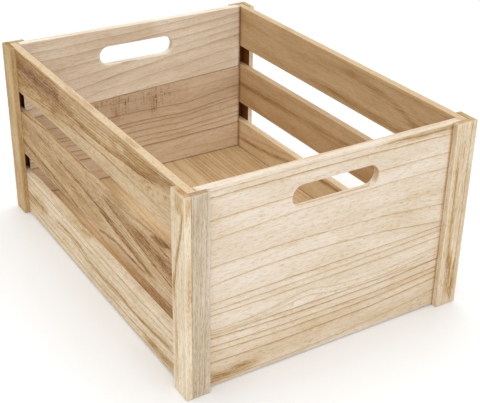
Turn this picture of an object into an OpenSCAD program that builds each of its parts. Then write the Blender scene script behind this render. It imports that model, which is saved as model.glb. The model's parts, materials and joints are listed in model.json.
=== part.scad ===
// Open-topped wooden crate with slatted sides, solid ends and oval hand holes.
// +X is to the right, +Y runs to the back, +Z is up. The origin is on the ground
// under the middle of the crate. The end panels face -Y and +Y.

/* [Crate] */
// Outside width, across the ends
crate_w = 300; // [250:1:420]
// Outside length, along the sides
crate_l = 400; // [300:1:600]
// Height of the corner strips
crate_h = 195; // [160:1:320]
// Height of the panels' and slats' lower edges above the ground
foot_h = 1; // [0.5:0.5:10]
// Chamfer that eases every sawn edge
edge_ease = 0.5; // [0.2:0.1:1]

/* [Corner strips] */
// Thickness of the corner strips
strip_t = 6; // [4:0.5:10]
// Width of a strip on the long side, its edge showing at the end
side_strip_w = 23; // [18:0.5:40]
// Width of the corner seen from the end, side strip's edge included
end_corner_w = 23.5; // [19:0.5:40]

/* [Side slats] */
// Thickness of the slats
slat_t = 8; // [6:0.5:14]
// Height of one slat
slat_h = 49; // [40:0.5:60]

/* [End panels] */
// Thickness of the end panels
panel_t = 8; // [6:0.5:14]
// Height of the front panel's glue line above the ground
front_joint_z = 53.5; // [40:0.5:90]
// Height of the back panel's glue line at the middle of the panel
back_joint_z = 115; // [60:0.5:120]
// Rise of the back panel's glue line from left to right
back_joint_rise = 12.5; // [0:0.5:20]

/* [Hand holes] */
// Width of a hand hole
hand_hole_w = 90; // [70:1:120]
// Height of a hand hole
hand_hole_h = 21; // [18:0.5:30]
// Wood left between a hand hole and the top edge
hand_hole_drop = 20.5; // [15:0.5:40]
// Chamfer around the rim of a hand hole
hand_hole_ease = 1; // [0.5:0.1:2]

/* [Floor] */
// Thickness of the floor boards
floor_t = 5; // [3:0.5:8]
// Height of the floor's underside above the ground
floor_z = 9; // [7:0.5:20]
// Depth of the grooves that hold the floor
groove_depth = 3; // [2:0.5:4]
// Play above the floor in its groove
groove_play = 0.3; // [0.1:0.1:1]
// Room left at the bottom of the groove for the wood to move
groove_end_gap = 0.5; // [0.2:0.1:1]

/* [Brads and pins] */
// Diameter of a brad's shank
brad_d = 1.2; // [1:0.1:2]
// Diameter of a brad's head
brad_head_d = 2; // [1.5:0.1:3]
// Thickness of a brad's head
brad_head_t = 0.8; // [0.5:0.1:1.5]
// Length of a brad, which nails a slat to a panel's edge
brad_len = 25; // [18:1:35]
// Distance from a slat's long edge to the centre of a brad
brad_edge = 15; // [12:0.5:20]
// Diameter of a headless pin, which holds a corner strip
pin_d = 0.7; // [0.6:0.1:1.2]
// Length of a pin
pin_len = 12; // [10:0.5:13]
// Play around a brad or pin in its hole
nail_play = 0.02; // [0.01:0.01:0.1]

/* [Hidden] */
$fn = 48;

// How far a cut runs past the face it opens
cut_over = 1;
// Slats on each side, floor boards, and pins up each end strip
slat_count = 3;
floor_board_count = 4;
pins_per_end_strip = 3;

// Planes measured from the middle of the crate
outer_x = crate_w / 2;
outer_y = crate_l / 2;
strip_in_x = outer_x - strip_t;
strip_in_y = outer_y - strip_t;
slat_in_x = strip_in_x - slat_t;
panel_in_y = strip_in_y - panel_t;
end_strip_in_x = outer_x - end_corner_w;
side_strip_in_y = outer_y - side_strip_w;

// Heights
board_h = crate_h - foot_h;
slat_gap = (board_h - slat_count * slat_h) / (slat_count - 1);
function slat_z(i) = foot_h + i * (slat_h + slat_gap);
groove_h = floor_t + groove_play;
hand_hole_z = crate_h - hand_hole_drop - hand_hole_h / 2;

// Floor, as far as it reaches into the grooves
floor_half_w = slat_in_x + groove_depth - groove_end_gap;
floor_half_l = panel_in_y + groove_depth - groove_end_gap;
floor_board_w = 2 * floor_half_w / floor_board_count;

// Lines of brads and pins
brad_y = strip_in_y - panel_t / 2;
side_pin_y = (side_strip_in_y + panel_in_y) / 2;
end_pin_x = (end_strip_in_x + slat_in_x) / 2;

// Rectangle from the origin with its four corners eased.
module eased_rect(w, h) {
    e = edge_ease;
    polygon([[e, 0], [w - e, 0], [w, e], [w, h - e], [w - e, h], [e, h], [0, h - e], [0, e]]);
}

// Sawn board that fills the box between two corners, its twelve edges eased.
module board(low, high) {
    size = high - low;
    translate(low) intersection() {
        linear_extrude(size.z) eased_rect(size.x, size.y);
        translate([0, size.y, 0]) rotate([90, 0, 0]) linear_extrude(size.y) eased_rect(size.x, size.z);
        rotate([90, 0, 90]) linear_extrude(size.x) eased_rect(size.y, size.z);
    }
}

// Box between two corners, for cutting.
module cut_box(low, high) {
    translate(low) cube(high - low);
}

// Headless nail lying along +X from the origin, with a tapered point.
module shank(length, d) {
    rotate([0, 90, 0]) {
        cylinder(h = length - d, d = d);
        translate([0, 0, length - d]) cylinder(h = d, d1 = d, d2 = d / 3);
    }
}

// Hole that a headless nail makes, open at the origin.
module shank_hole(length, d) {
    rotate([0, 90, 0]) translate([0, 0, -cut_over])
        cylinder(h = length + nail_play + cut_over, d = d + 2 * nail_play);
}

// Brad with its head's top at the origin.
module brad() {
    shank(brad_len, brad_d);
    rotate([0, 90, 0]) cylinder(h = brad_head_t, d = brad_head_d);
}

// Hole that a brad makes, its head flush with the wood.
module brad_hole() {
    shank_hole(brad_len, brad_d);
    rotate([0, 90, 0]) translate([0, 0, -cut_over])
        cylinder(h = brad_head_t + cut_over, d = brad_head_d + 2 * nail_play);
}

// Brads from the outside of the right-hand slats into the panels' edges.
module at_slat_brads() {
    for (i = [0 : slat_count - 1], edge = [brad_edge, slat_h - brad_edge], end = [-1, 1])
        translate([strip_in_x, end * brad_y, slat_z(i) + edge]) rotate([0, 0, 180]) children();
}

// Pins from the inside of the right-hand slats into the side strips.
module at_side_pins() {
    for (i = [0 : slat_count - 1], end = [-1, 1])
        translate([slat_in_x, end * side_pin_y, slat_z(i) + slat_h / 2]) children();
}

// Pins from the inside of the back panel into the end strips.
module at_end_pins() {
    for (i = [0 : pins_per_end_strip - 1], side = [-1, 1])
        translate([side * end_pin_x, panel_in_y, slat_z(i) + slat_h / 2]) rotate([0, 0, 90]) children();
}

// Stadium-shaped opening of a hand hole, grown all round.
module hand_hole_outline(grow) {
    reach = (hand_hole_w - hand_hole_h) / 2;
    radius = hand_hole_h / 2 + grow;
    translate([-reach, -radius]) square([2 * reach, 2 * radius]);
    for (side = [-1, 1]) translate([side * reach, 0]) circle(radius);
}

// Flare that eases one rim of a hand hole, wide at z = 0 and narrow above.
module hand_hole_flare() {
    reach = (hand_hole_w - hand_hole_h) / 2;
    radius = hand_hole_h / 2;
    wide = radius + hand_hole_ease;
    rotate([90, 0, 90]) linear_extrude(2 * reach, center = true)
        polygon([[-wide, 0], [wide, 0], [radius, hand_hole_ease], [-radius, hand_hole_ease]]);
    for (side = [-1, 1]) translate([side * reach, 0, 0])
        cylinder(h = hand_hole_ease, r1 = wide, r2 = radius);
}

// Hand hole through the back panel.
module hand_hole() {
    translate([0, strip_in_y, hand_hole_z]) rotate([90, 0, 0]) {
        translate([0, 0, -cut_over]) linear_extrude(panel_t + 2 * cut_over) hand_hole_outline(0);
        hand_hole_flare();
        translate([0, 0, panel_t]) mirror([0, 0, 1]) hand_hole_flare();
    }
}

// Whole end panel at the back, with its groove, hand hole and nail holes.
module end_panel() {
    difference() {
        board([-slat_in_x, panel_in_y, foot_h], [slat_in_x, strip_in_y, crate_h]);
        hand_hole();
        cut_box([-outer_x, panel_in_y - cut_over, floor_z],
                [outer_x, panel_in_y + groove_depth, floor_z + groove_h]);
        at_slat_brads() brad_hole();
        mirror([1, 0, 0]) at_slat_brads() brad_hole();
        at_end_pins() shank_hole(pin_len, pin_d);
    }
}

// Part of the back panel's space above or below a glue line of given height and rise.
module beside_joint(joint_z, joint_rise, above) {
    low = joint_z - joint_rise / 2;
    high = joint_z + joint_rise / 2;
    far = above ? crate_h + cut_over : foot_h - cut_over;
    translate([0, strip_in_y + cut_over, 0]) rotate([90, 0, 0])
        linear_extrude(panel_t + 2 * cut_over)
            polygon([[-slat_in_x, low], [slat_in_x, high], [slat_in_x, far], [-slat_in_x, far]]);
}

// One board of an end panel, as it stands at the back.
module panel_board(joint_z, joint_rise, above) {
    color("burlywood") intersection() {
        end_panel();
        beside_joint(joint_z, joint_rise, above);
    }
}

// Right-hand slat, counted from the bottom; the lowest holds the floor.
module slat(i) {
    color("wheat") difference() {
        board([slat_in_x, -strip_in_y, slat_z(i)], [strip_in_x, strip_in_y, slat_z(i) + slat_h]);
        if (i == 0) cut_box([slat_in_x - cut_over, -outer_y, floor_z],
                            [slat_in_x + groove_depth, outer_y, floor_z + groove_h]);
        at_slat_brads() brad_hole();
        at_side_pins() shank_hole(pin_len, pin_d);
    }
}

// Side strip of the back right corner.
module side_strip() {
    color("tan") difference() {
        board([strip_in_x, side_strip_in_y, 0], [outer_x, outer_y, crate_h]);
        at_side_pins() shank_hole(pin_len, pin_d);
    }
}

// End strip of the back right corner.
module end_strip() {
    color("tan") difference() {
        board([end_strip_in_x, strip_in_y, 0], [strip_in_x, outer_y, crate_h]);
        at_end_pins() shank_hole(pin_len, pin_d);
    }
}

// Floor board, counted from the left.
module floor_board(i) {
    left = -floor_half_w + i * floor_board_w;
    color("peru") board([left, -floor_half_l, floor_z], [left + floor_board_w, floor_half_l, floor_z + floor_t]);
}

module slat_brads() { color("silver") at_slat_brads() brad(); }
module side_strip_pins() { color("silver") at_side_pins() shank(pin_len, pin_d); }
module end_strip_pins() { color("silver") at_end_pins() shank(pin_len, pin_d); }

// Copies of the right-hand or back pieces on the other side.
module to_left() { mirror([1, 0, 0]) children(); }
module to_front() { mirror([0, 1, 0]) children(); }

to_front() panel_board(front_joint_z, 0, true);  // front_panel_top_board
to_front() panel_board(front_joint_z, 0, false);  // front_panel_bottom_board
panel_board(back_joint_z, back_joint_rise, true);  // back_panel_top_board
panel_board(back_joint_z, back_joint_rise, false);  // back_panel_bottom_board
to_left() slat(2);  // left_top_slat
to_left() slat(1);  // left_middle_slat
to_left() slat(0);  // left_bottom_slat
slat(2);  // right_top_slat
slat(1);  // right_middle_slat
slat(0);  // right_bottom_slat
to_front() to_left() side_strip();  // front_left_side_strip
to_front() to_left() end_strip();  // front_left_end_strip
to_front() side_strip();  // front_right_side_strip
to_front() end_strip();  // front_right_end_strip
to_left() side_strip();  // back_left_side_strip
to_left() end_strip();  // back_left_end_strip
side_strip();  // back_right_side_strip
end_strip();  // back_right_end_strip
floor_board(0);  // floor_board_1
floor_board(1);  // floor_board_2
floor_board(2);  // floor_board_3
floor_board(3);  // floor_board_4
to_left() slat_brads();  // left_slat_brads
slat_brads();  // right_slat_brads
to_left() side_strip_pins();  // left_strip_pins
side_strip_pins();  // right_strip_pins
to_front() end_strip_pins();  // front_strip_pins
end_strip_pins();  // back_strip_pins
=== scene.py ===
"""Open-topped wooden apple crate: the looks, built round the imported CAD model.

Lengths are metres in the crate's own frame: +X right, +Y back, +Z up, with the origin on the ground under
the middle of the crate. Figures of the wood are laid out in millimetres, as a joiner would mark them.
Every board is a closed numpy surface that stands just inside its CAD solid, with eased edges, slight
waves and the growth rings stored at each point, so that face, edge and end grain come from one figure.
"""

import itertools
import json
import logging
from dataclasses import dataclass, field
from enum import Enum

import bpy
import numpy as np
from mathutils import Matrix, Vector

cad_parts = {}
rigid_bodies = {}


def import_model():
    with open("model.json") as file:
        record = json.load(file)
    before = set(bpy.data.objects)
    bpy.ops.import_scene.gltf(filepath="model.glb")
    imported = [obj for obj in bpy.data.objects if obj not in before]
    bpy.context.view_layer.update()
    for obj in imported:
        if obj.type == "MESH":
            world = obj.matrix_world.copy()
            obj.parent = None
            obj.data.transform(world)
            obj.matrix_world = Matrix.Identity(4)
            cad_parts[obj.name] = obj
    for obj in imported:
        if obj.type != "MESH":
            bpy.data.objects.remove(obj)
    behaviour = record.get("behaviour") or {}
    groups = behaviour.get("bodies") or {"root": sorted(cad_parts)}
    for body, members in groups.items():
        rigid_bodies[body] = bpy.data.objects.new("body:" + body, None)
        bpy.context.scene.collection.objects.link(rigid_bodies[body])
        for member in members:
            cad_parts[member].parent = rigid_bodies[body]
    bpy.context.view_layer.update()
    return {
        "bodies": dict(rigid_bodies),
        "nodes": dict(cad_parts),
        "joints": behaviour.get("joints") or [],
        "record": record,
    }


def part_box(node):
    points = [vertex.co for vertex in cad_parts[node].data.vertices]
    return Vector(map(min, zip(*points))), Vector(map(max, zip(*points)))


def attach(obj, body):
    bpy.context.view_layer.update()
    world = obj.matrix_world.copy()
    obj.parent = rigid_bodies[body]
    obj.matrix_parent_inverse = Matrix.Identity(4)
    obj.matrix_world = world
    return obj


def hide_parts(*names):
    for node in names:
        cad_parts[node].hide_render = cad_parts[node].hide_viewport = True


LOG = logging.getLogger("crate")
MM = 0.001
# Parts that an eased edge's arc is cut into
ARC_PARTS = 3
# Cells before random noise repeats
LATTICE = 32
# Cosines of the turns from which a point faces a way a little, and fully
FACING_SPAN = (0.64, 0.95)
END_GRAIN_SPAN = (0.6, 0.95)


class Axis(Enum):
    """Directions of the crate's frame."""

    X = 0
    Y = 1
    Z = 2


class Tint(Enum):
    """What a mark adds to the wood: tan shading, brown stain, pale fibres, painted shade or saw marks."""

    TAN = "tan"
    BROWN = "brown"
    PALE = "bare"
    # Painted shade in the corner pockets, the inner corners and beside the front corner strips
    GLUE = "glue"
    SAWN = "chatter"


Colour = tuple[float, float, float]
Socket = bpy.types.NodeSocket
Face = tuple[Axis, int]


def paint(red: int, green: int, blue: int) -> Colour:
    """Turns a colour as a screen shows it into the linear light that shaders add up.

    Args:
        red: Red, 0 to 255.
        green: Green, 0 to 255.
        blue: Blue, 0 to 255.

    Returns:
        The colour in linear light, 0 to 1.
    """
    shown = np.array([red, green, blue]) / 255
    linear = np.where(shown <= 0.04045, shown / 12.92, ((shown + 0.055) / 1.055) ** 2.4)
    return tuple(float(v) for v in linear)


# ---------------------------------------------------------------- numpy helpers


def soft_step(low: float, high: float, value: np.ndarray) -> np.ndarray:
    """Rises from 0 at low to 1 at high along 3t^2 - 2t^3."""
    share = np.clip((value - low) / (high - low), 0.0, 1.0)
    return share * share * (3 - 2 * share)


def soft_noise(points: np.ndarray, wavelength: tuple[float, ...], seed: int) -> np.ndarray:
    """Gives each point a random value from -1 to 1 that changes smoothly.

    Random values stand on a repeating lattice, and each point blends the ones at the corners of its cell
    with the weights 3t^2 - 2t^3 along each axis.

    Args:
        points: Places, one row each, in the unit of wavelength.
        wavelength: Size of a lattice cell along each column of points.
        seed: Start of the random numbers.

    Returns:
        One value per point.
    """
    columns = len(wavelength)
    lattice = np.random.default_rng(seed).uniform(-1.0, 1.0, (LATTICE,) * columns)
    place = points / np.array(wavelength)
    cell = np.floor(place).astype(int)
    share = soft_step(0.0, 1.0, place - cell)
    value = np.zeros(len(points))
    for corner in itertools.product((0, 1), repeat=columns):
        weight = np.where(np.array(corner, bool), share, 1.0 - share).prod(axis=1)
        value += weight * lattice[tuple(((cell + corner) % LATTICE).T)]
    return value


@dataclass
class Surface:
    """Closed skin of four-sided faces.

    Attributes:
        points: Corner places in metres, one row each.
        faces: Indices of each face's four corners, in order.
    """

    points: np.ndarray
    faces: np.ndarray

    def __post_init__(self) -> None:
        """Turns the faces round if the volume that they enclose comes out negative."""
        a, b, c, d = (self.points[self.faces[:, k]] for k in range(4))
        volume = np.einsum("ij,ij->", np.cross(c - a, d - b), (a + b + c + d) / 4)
        if volume < 0:
            self.faces = self.faces[:, ::-1].copy()

    def normals(self) -> np.ndarray:
        """Adds up, at each point, the normals of the faces round it, weighted by area.

        Returns:
            One unit vector per point.
        """
        a, b, c, d = (self.points[self.faces[:, k]] for k in range(4))
        doubled_area = np.cross(c - a, d - b)
        total = np.zeros_like(self.points)
        for k in range(4):
            np.add.at(total, self.faces[:, k], doubled_area)
        return total / np.maximum(np.linalg.norm(total, axis=1, keepdims=True), 1e-20)


def facing(normals: np.ndarray, faces: tuple[Face, ...]) -> np.ndarray:
    """Tells how squarely each point faces one of the given ways.

    Args:
        normals: Unit normals, one row each.
        faces: Axes, each with the sign of the way along it.

    Returns:
        1 for a point that faces one of the ways, down to 0 for one turned off all of them by 50 degrees.
    """
    squareness = np.zeros(len(normals))
    for axis, sign in faces:
        squareness = np.maximum(squareness, soft_step(*FACING_SPAN, sign * normals[:, axis.value]))
    return squareness


def grid_stops(stops: tuple[float, ...], ease: tuple[float, float], step: float) -> np.ndarray:
    """Places the grid lines of a board along one axis.

    Within ease of each end the lines stand at ease * (1 - tan a) for angles a from 45 degrees to 0, which
    spaces the points of a rounded edge evenly. Between them, and between the inner stops, the lines are
    even and about one step apart.

    Args:
        stops: Low end, any inner places that must have a line, and high end.
        ease: Reach of the rounding at the low and the high end.
        step: Widest gap between two lines.

    Returns:
        The places in rising order.
    """
    arc = 1.0 - np.tan(np.linspace(np.pi / 4, 0.0, ARC_PARTS + 1))
    low_arc = stops[0] + ease[0] * arc
    high_arc = stops[-1] - ease[1] * arc[::-1]
    inner = [low_arc[-1], low_arc[-1] + ease[0] / 2, *stops[1:-1], high_arc[0] - ease[1] / 2, high_arc[0]]
    spans = [
        np.linspace(a, b, max(1, int(np.ceil((b - a) / step))), endpoint=False)
        for a, b in itertools.pairwise(inner)
    ]
    return np.concatenate([low_arc[:-1], *spans, high_arc])


def block_faces(solid: np.ndarray) -> np.ndarray:
    """Finds the outer faces of a block of cells.

    Along each axis, a face stands wherever a filled cell and an empty one meet. Corners are numbered as in
    a grid with one more line than cells along each axis.

    Args:
        solid: True for each filled cell, by its index along X, Y and Z.

    Returns:
        Corner numbers of each face, seen in turn from outside.
    """
    number = np.arange(np.prod(np.array(solid.shape) + 1)).reshape(np.array(solid.shape) + 1)
    found = []
    for axis in range(3):
        padding = [(1, 1) if other == axis else (0, 0) for other in range(3)]
        change = np.diff(np.pad(solid, padding).astype(int), axis=axis)
        across, along = (axis + 1) % 3, (axis + 2) % 3
        for sign in (1, -1):
            corner = np.repeat(np.argwhere(change == sign)[:, None, :], 4, axis=1)
            corner[:, 1:3, across] += 1
            corner[:, 2:4, along] += 1
            face = number[tuple(np.moveaxis(corner, 2, 0))]
            found.append(face[:, ::-1] if sign == 1 else face)
    return np.concatenate(found)


def loop_faces(rows: int, columns: int) -> np.ndarray:
    """Joins a grid of points into faces, with the last row and column joined back to the first.

    Args:
        rows: Rows of the grid.
        columns: Points in each row.

    Returns:
        Numbers of each face's four corners, counted along the rows.
    """
    number = np.arange(rows * columns).reshape(rows, columns)
    right = np.roll(number, -1, axis=1)
    corners = (number, right, np.roll(right, -1, axis=0), np.roll(number, -1, axis=0))
    return np.stack(corners, axis=2).reshape(-1, 4)


# ---------------------------------------------------------------- figure of the wood

# Wavelengths, in mm, of the waves in laid growth lines: long ones, and shorter ones at half the height
LONG_WAVES = (55.0, 60.0)
SHORT_WAVES = (21.0, 30.0)
# Least gap between two laid growth lines, mm
LEAST_RING = 0.05
# Least rise of the ring count, as a share of its mean rise between two lines
LEAST_RISE = 0.15


@dataclass(frozen=True)
class GrowthLine:
    """One dark growth line on a board's face, as a height at the board's two ends and its middle, in mm.

    Attributes:
        low_end: Height at the end where the lengthwise coordinate is lowest.
        middle: Height halfway.
        high_end: Height at the other end.
        strength: 0 for none to 1 for a strong line.
        swell: Centre and reach along the board, and rise, of an arch in the line.
    """

    low_end: float
    middle: float
    high_end: float
    strength: float = 0.5
    swell: tuple[float, float, float] = (0.0, 1.0, 0.0)

    def height(self, along: np.ndarray, half_length: float) -> np.ndarray:
        """Follows the parabola through the three heights, plus the arch.

        The arch is rise / (1 + (distance from its centre / reach)^2)^2.

        Args:
            along: Lengthwise coordinate of each point, mm.
            half_length: Distance from the middle to the ends, mm.

        Returns:
            The line's height at each point, mm.
        """
        share = along / half_length
        tilt = (self.high_end - self.low_end) / 2 * share
        bow = ((self.high_end + self.low_end) / 2 - self.middle) * share**2
        centre, reach, rise = self.swell
        return self.middle + tilt + bow + rise / (1 + ((along - centre) / reach) ** 2) ** 2


@dataclass(frozen=True)
class Rings:
    """Growth rings worked out at each point of a board.

    Attributes:
        number: Rings counted to the point, whole numbers on the growth lines.
        width: Width of the ring there, in mm.
        strength: How dark the nearest growth line is.
        across: Distance across the board in mm, measured from a line that the fibres follow.
    """

    number: np.ndarray
    width: np.ndarray
    strength: np.ndarray
    across: np.ndarray


@dataclass(frozen=True)
class LaidFigure:
    """Figure whose growth lines are laid out one by one, from the lowest to the highest.

    Attributes:
        lines: The growth lines.
        half_length: Distance from the board's middle to the ends where the lines' heights are given, mm.
        lean: Millimetres that the lines climb per millimetre of depth into the board.
        wander: Height of the lines' shared waves, mm.
        seed: Start of the random numbers.
    """

    lines: tuple[GrowthLine, ...]
    half_length: float
    lean: float = 0.5
    wander: float = 0.5
    seed: int = 1

    def rings(self, along: np.ndarray, across: np.ndarray, depth: np.ndarray) -> Rings:
        """Counts rings between the laid lines.

        Between two lines the count rises along a cubic whose slope at each line is the reciprocal of the
        mean of the ring widths beside it, so that both the count and the ring width change smoothly.

        Args:
            along: Lengthwise coordinate of each point, mm.
            across: Coordinate across the face, mm.
            depth: Coordinate through the board, from its middle, mm.

        Returns:
            The rings at each point.
        """
        place = np.stack([along, across], axis=1)
        wave = soft_noise(place, LONG_WAVES, self.seed)
        wave += 0.5 * soft_noise(place, SHORT_WAVES, self.seed + 1)
        height = across + self.wander * wave - self.lean * depth
        knots = np.stack([line.height(along, self.half_length) for line in self.lines], axis=1)
        knots = np.maximum.accumulate(knots, axis=1) + LEAST_RING * np.arange(len(self.lines))
        gaps = np.diff(knots, axis=1)
        slopes = 2.0 / (np.hstack([gaps[:, :1], gaps]) + np.hstack([gaps, gaps[:, -1:]]))
        index = np.clip((knots <= height[:, None]).sum(axis=1) - 1, 0, len(self.lines) - 2)
        row = np.arange(len(along))
        gap = gaps[row, index]
        share = np.clip((height - knots[row, index]) / gap, -0.5, 1.5)
        start, end = slopes[row, index] * gap, slopes[row, index + 1] * gap
        curve = start + end - 2.0
        bend = 3.0 - 2.0 * start - end
        number = index + start * share + bend * share**2 + curve * share**3
        slope = np.maximum(start + 2 * bend * share + 3 * curve * share**2, LEAST_RISE) / gap
        strengths = np.array([line.strength for line in self.lines])
        nearest = np.clip(np.round(number).astype(int), 0, len(self.lines) - 1)
        middles = np.array([line.middle for line in self.lines])
        level = np.interp(number, np.arange(len(self.lines)), middles)
        level += height - np.clip(height, knots[:, 0], knots[:, -1])
        return Rings(number, 1.0 / slope, strengths[nearest], level)


@dataclass(frozen=True)
class HeartFigure:
    """Figure of rings round the heart of the tree, which runs past the board at a distance.

    Attributes:
        heart: Where the heart lies from the board's middle, across the face and through it, mm.
        drift: How far the heart moves in those two directions per mm along the board.
        ring: Mean ring width, mm.
        spread: Share by which ring widths differ from the mean.
        strength: Lowest and highest darkness of the growth lines.
        wander: Height of the waves in the rings, mm.
        seed: Start of the random numbers.
    """

    heart: tuple[float, float]
    drift: tuple[float, float] = (0.0, 0.0)
    ring: float = 4.0
    spread: float = 0.5
    strength: tuple[float, float] = (0.2, 0.8)
    wander: float = 0.6
    seed: int = 1

    def rings(self, along: np.ndarray, across: np.ndarray, depth: np.ndarray) -> Rings:
        """Counts rings out from the heart: the distance to it, measured against a random row of widths.

        Args:
            along: Lengthwise coordinate of each point from the board's middle, mm.
            across: Coordinate across the face from the board's middle, mm.
            depth: Coordinate through the board from its middle, mm.

        Returns:
            The rings at each point.
        """
        place = np.stack([along, across, depth], axis=1)
        wave = soft_noise(place, (70.0, 40.0, 40.0), self.seed)
        wave += 0.4 * soft_noise(place, (24.0, 18.0, 18.0), self.seed + 1)
        side = across - self.heart[0] - self.drift[0] * along
        rise = depth - self.heart[1] - self.drift[1] * along
        radius = np.hypot(side, rise) + self.wander * wave
        random = np.random.default_rng(self.seed)
        count = int(radius.max() / self.ring * 2) + 8
        widths = self.ring * random.uniform(1 - self.spread, 1 + self.spread, count)
        edges = np.concatenate([[0.0], np.cumsum(widths)])
        strengths = random.uniform(*self.strength, count + 1)
        number = np.interp(radius, edges, np.arange(count + 1))
        width = np.interp(radius, (edges[1:] + edges[:-1]) / 2, widths)
        return Rings(number, width, strengths[np.round(number).astype(int)], side + self.wander * wave)


@dataclass(frozen=True)
class Mark:
    """Lengthwise streak, crack or patch of colour on a board.

    Attributes:
        path: Points that it passes through, each a place along and a height across the board, mm, in
            rising order along the board.
        below: Distance over which the colour fades out under the path, mm.
        above: The same over the path, mm.
        depth: 0 for none to 1 for full colour along the path, or more to widen the full part.
        tint: What it adds.
        fade: Length over which it comes in at each end, mm.
        face: 0 for a mark that goes right through the board, or the sign, along the board's thickness, of
            the only face that shows it.
    """

    path: tuple[tuple[float, float], ...]
    below: float
    above: float
    depth: float
    tint: Tint = Tint.BROWN
    fade: float = 12.0
    face: int = 0

    def cover(self, along: np.ndarray, across: np.ndarray, turned: np.ndarray) -> np.ndarray:
        """Works out the mark's depth at each point.

        It is exp(-(distance / reach)^2) on each side of the path, and it fades out past the path's ends.

        Args:
            along: Lengthwise coordinate of each point, mm.
            across: Coordinate across the face, mm.
            turned: Part of each point's normal along the board's thickness.

        Returns:
            0 for none to the mark's depth.
        """
        places, heights = np.array(self.path).T
        off = across - np.interp(along, places, heights)
        body = np.exp(-((off / np.where(off > 0, self.above, self.below)) ** 2))
        inside = np.minimum(along - places[0], places[-1] - along)
        shown = soft_step(*FACING_SPAN, self.face * turned) if self.face else 1.0
        return self.depth * body * shown * soft_step(-self.fade, self.fade / 2, inside)


# ---------------------------------------------------------------- finishes


@dataclass
class Graph:
    """Node tree of one material, with short ways to add and join nodes.

    Attributes:
        tree: The node tree.
    """

    tree: bpy.types.NodeTree

    def node(
        self, kind: str, inputs: dict[str | int, object] | None = None, **settings: object
    ) -> bpy.types.Node:
        """Adds a node.

        Args:
            kind: Blender's name for the node type.
            inputs: Values or sockets for its inputs, by name or number.
            settings: Properties of the node.

        Returns:
            The node.
        """
        made = self.tree.nodes.new(kind)
        for name, value in settings.items():
            setattr(made, name, value)
        for key, value in (inputs or {}).items():
            if isinstance(value, Socket):
                self.tree.links.new(value, made.inputs[key])
            else:
                made.inputs[key].default_value = value
        return made

    def math(self, operation: str, *values: Socket | float) -> Socket:
        """Adds a Math node and gives its result."""
        return self.node("ShaderNodeMath", dict(enumerate(values)), operation=operation).outputs[0]

    def ramp(self, value: Socket, low: float, high: float, start: float = 0.0, end: float = 1.0) -> Socket:
        """Maps low to start and high to end, smoothly and without passing them."""
        inputs = {0: value, 1: low, 2: high, 3: start, 4: end}
        return self.node("ShaderNodeMapRange", inputs, interpolation_type="SMOOTHSTEP").outputs[0]

    def attribute(self, name: str, output: str = "Fac") -> Socket:
        """Reads a value that the mesh stores at its points."""
        return self.node("ShaderNodeAttribute", attribute_name=name).outputs[output]

    def stretched(self, vector: Socket, scale: tuple[float, float, float], shift: float = 0.0) -> Socket:
        """Scales and shifts a pattern's coordinates with a Mapping node."""
        inputs = {"Vector": vector, "Scale": scale, "Location": (shift, shift, shift)}
        return self.node("ShaderNodeMapping", inputs).outputs[0]

    def noise(self, vector: Socket, detail: float = 2.0, roughness: float = 0.5) -> Socket:
        """Adds fractal noise whose cells are one unit of the vector across."""
        inputs = {"Vector": vector, "Scale": 1.0, "Detail": detail, "Roughness": roughness}
        return self.node("ShaderNodeTexNoise", inputs).outputs[0]

    def mix(self, share: Socket | float, first: Socket | Colour, second: Socket | Colour) -> Socket:
        """Mixes two colours.

        Args:
            share: Share of the second colour, 0 to 1.
            first: First colour.
            second: Second colour.

        Returns:
            The mixture.
        """
        made = self.node("ShaderNodeMix", data_type="RGBA")
        for key, value in ((0, share), (6, first), (7, second)):
            if isinstance(value, Socket):
                self.tree.links.new(value, made.inputs[key])
            else:
                made.inputs[key].default_value = value if key == 0 else (*value, 1.0)
        return made.outputs[2]

    def stained(self, wood: Socket, depth: Socket | float, through: Colour) -> Socket:
        """Lays a clear stain over a colour.

        Light that passes depth d of a stain keeps the share t^d of each colour, where t is the share that
        a full layer lets through, so deep stains turn richer and not greyer.

        Args:
            wood: Colour under the stain.
            depth: Depth of the stain, 1 for a full layer.
            through: Share of red, green and blue that a full layer lets through.

        Returns:
            The stained colour.
        """
        layer = self.node("ShaderNodeGamma", {"Color": (*through, 1.0), "Gamma": depth}).outputs[0]
        made = self.node("ShaderNodeMix", {0: 1.0}, data_type="RGBA", blend_type="MULTIPLY")
        self.tree.links.new(wood, made.inputs[6])
        self.tree.links.new(layer, made.inputs[7])
        return made.outputs[2]


def let_through(pale: Colour, seen: Colour) -> Colour:
    """Gives the share of each colour that a layer lets through, if it makes pale wood look like seen."""
    return tuple(float(v) for v in np.minimum(np.array(seen) / np.array(pale), 1.0))


def new_material(name: str) -> tuple[bpy.types.Material, Graph, bpy.types.Node]:
    """Makes an empty material.

    Args:
        name: Name of the material.

    Returns:
        The material, its graph, and its main shader, already joined to the output.
    """
    material = bpy.data.materials.new(name)
    material.use_nodes = True
    material.node_tree.nodes.clear()
    graph = Graph(material.node_tree)
    shader = graph.node("ShaderNodeBsdfPrincipled")
    graph.node("ShaderNodeOutputMaterial", {"Surface": shader.outputs[0]})
    return material, graph, shader


@dataclass(frozen=True)
class Pattern:
    """Random pattern that follows the fibres of a board.

    Attributes:
        along: Cells per mm along the fibres.
        across: Cells per mm across them.
        shift: How far it is moved, in cells, so that it matches no other pattern.
        detail: Number of finer layers.
        roughness: Strength of each finer layer, as a share of the one before.
    """

    along: float
    across: float
    shift: float = 0.0
    detail: float = 2.0
    roughness: float = 0.6

    def drawn(self, graph: Graph, fibre: Socket, shift: float = 0.0) -> Socket:
        """Adds the pattern to a material.

        Args:
            graph: Graph of the material.
            fibre: Coordinates along the fibres.
            shift: How much further it is moved, in cells.

        Returns:
            Values round 0.5.
        """
        scale = (self.along, self.across, self.across)
        return graph.noise(graph.stretched(fibre, scale, shift + self.shift), self.detail, self.roughness)


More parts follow.
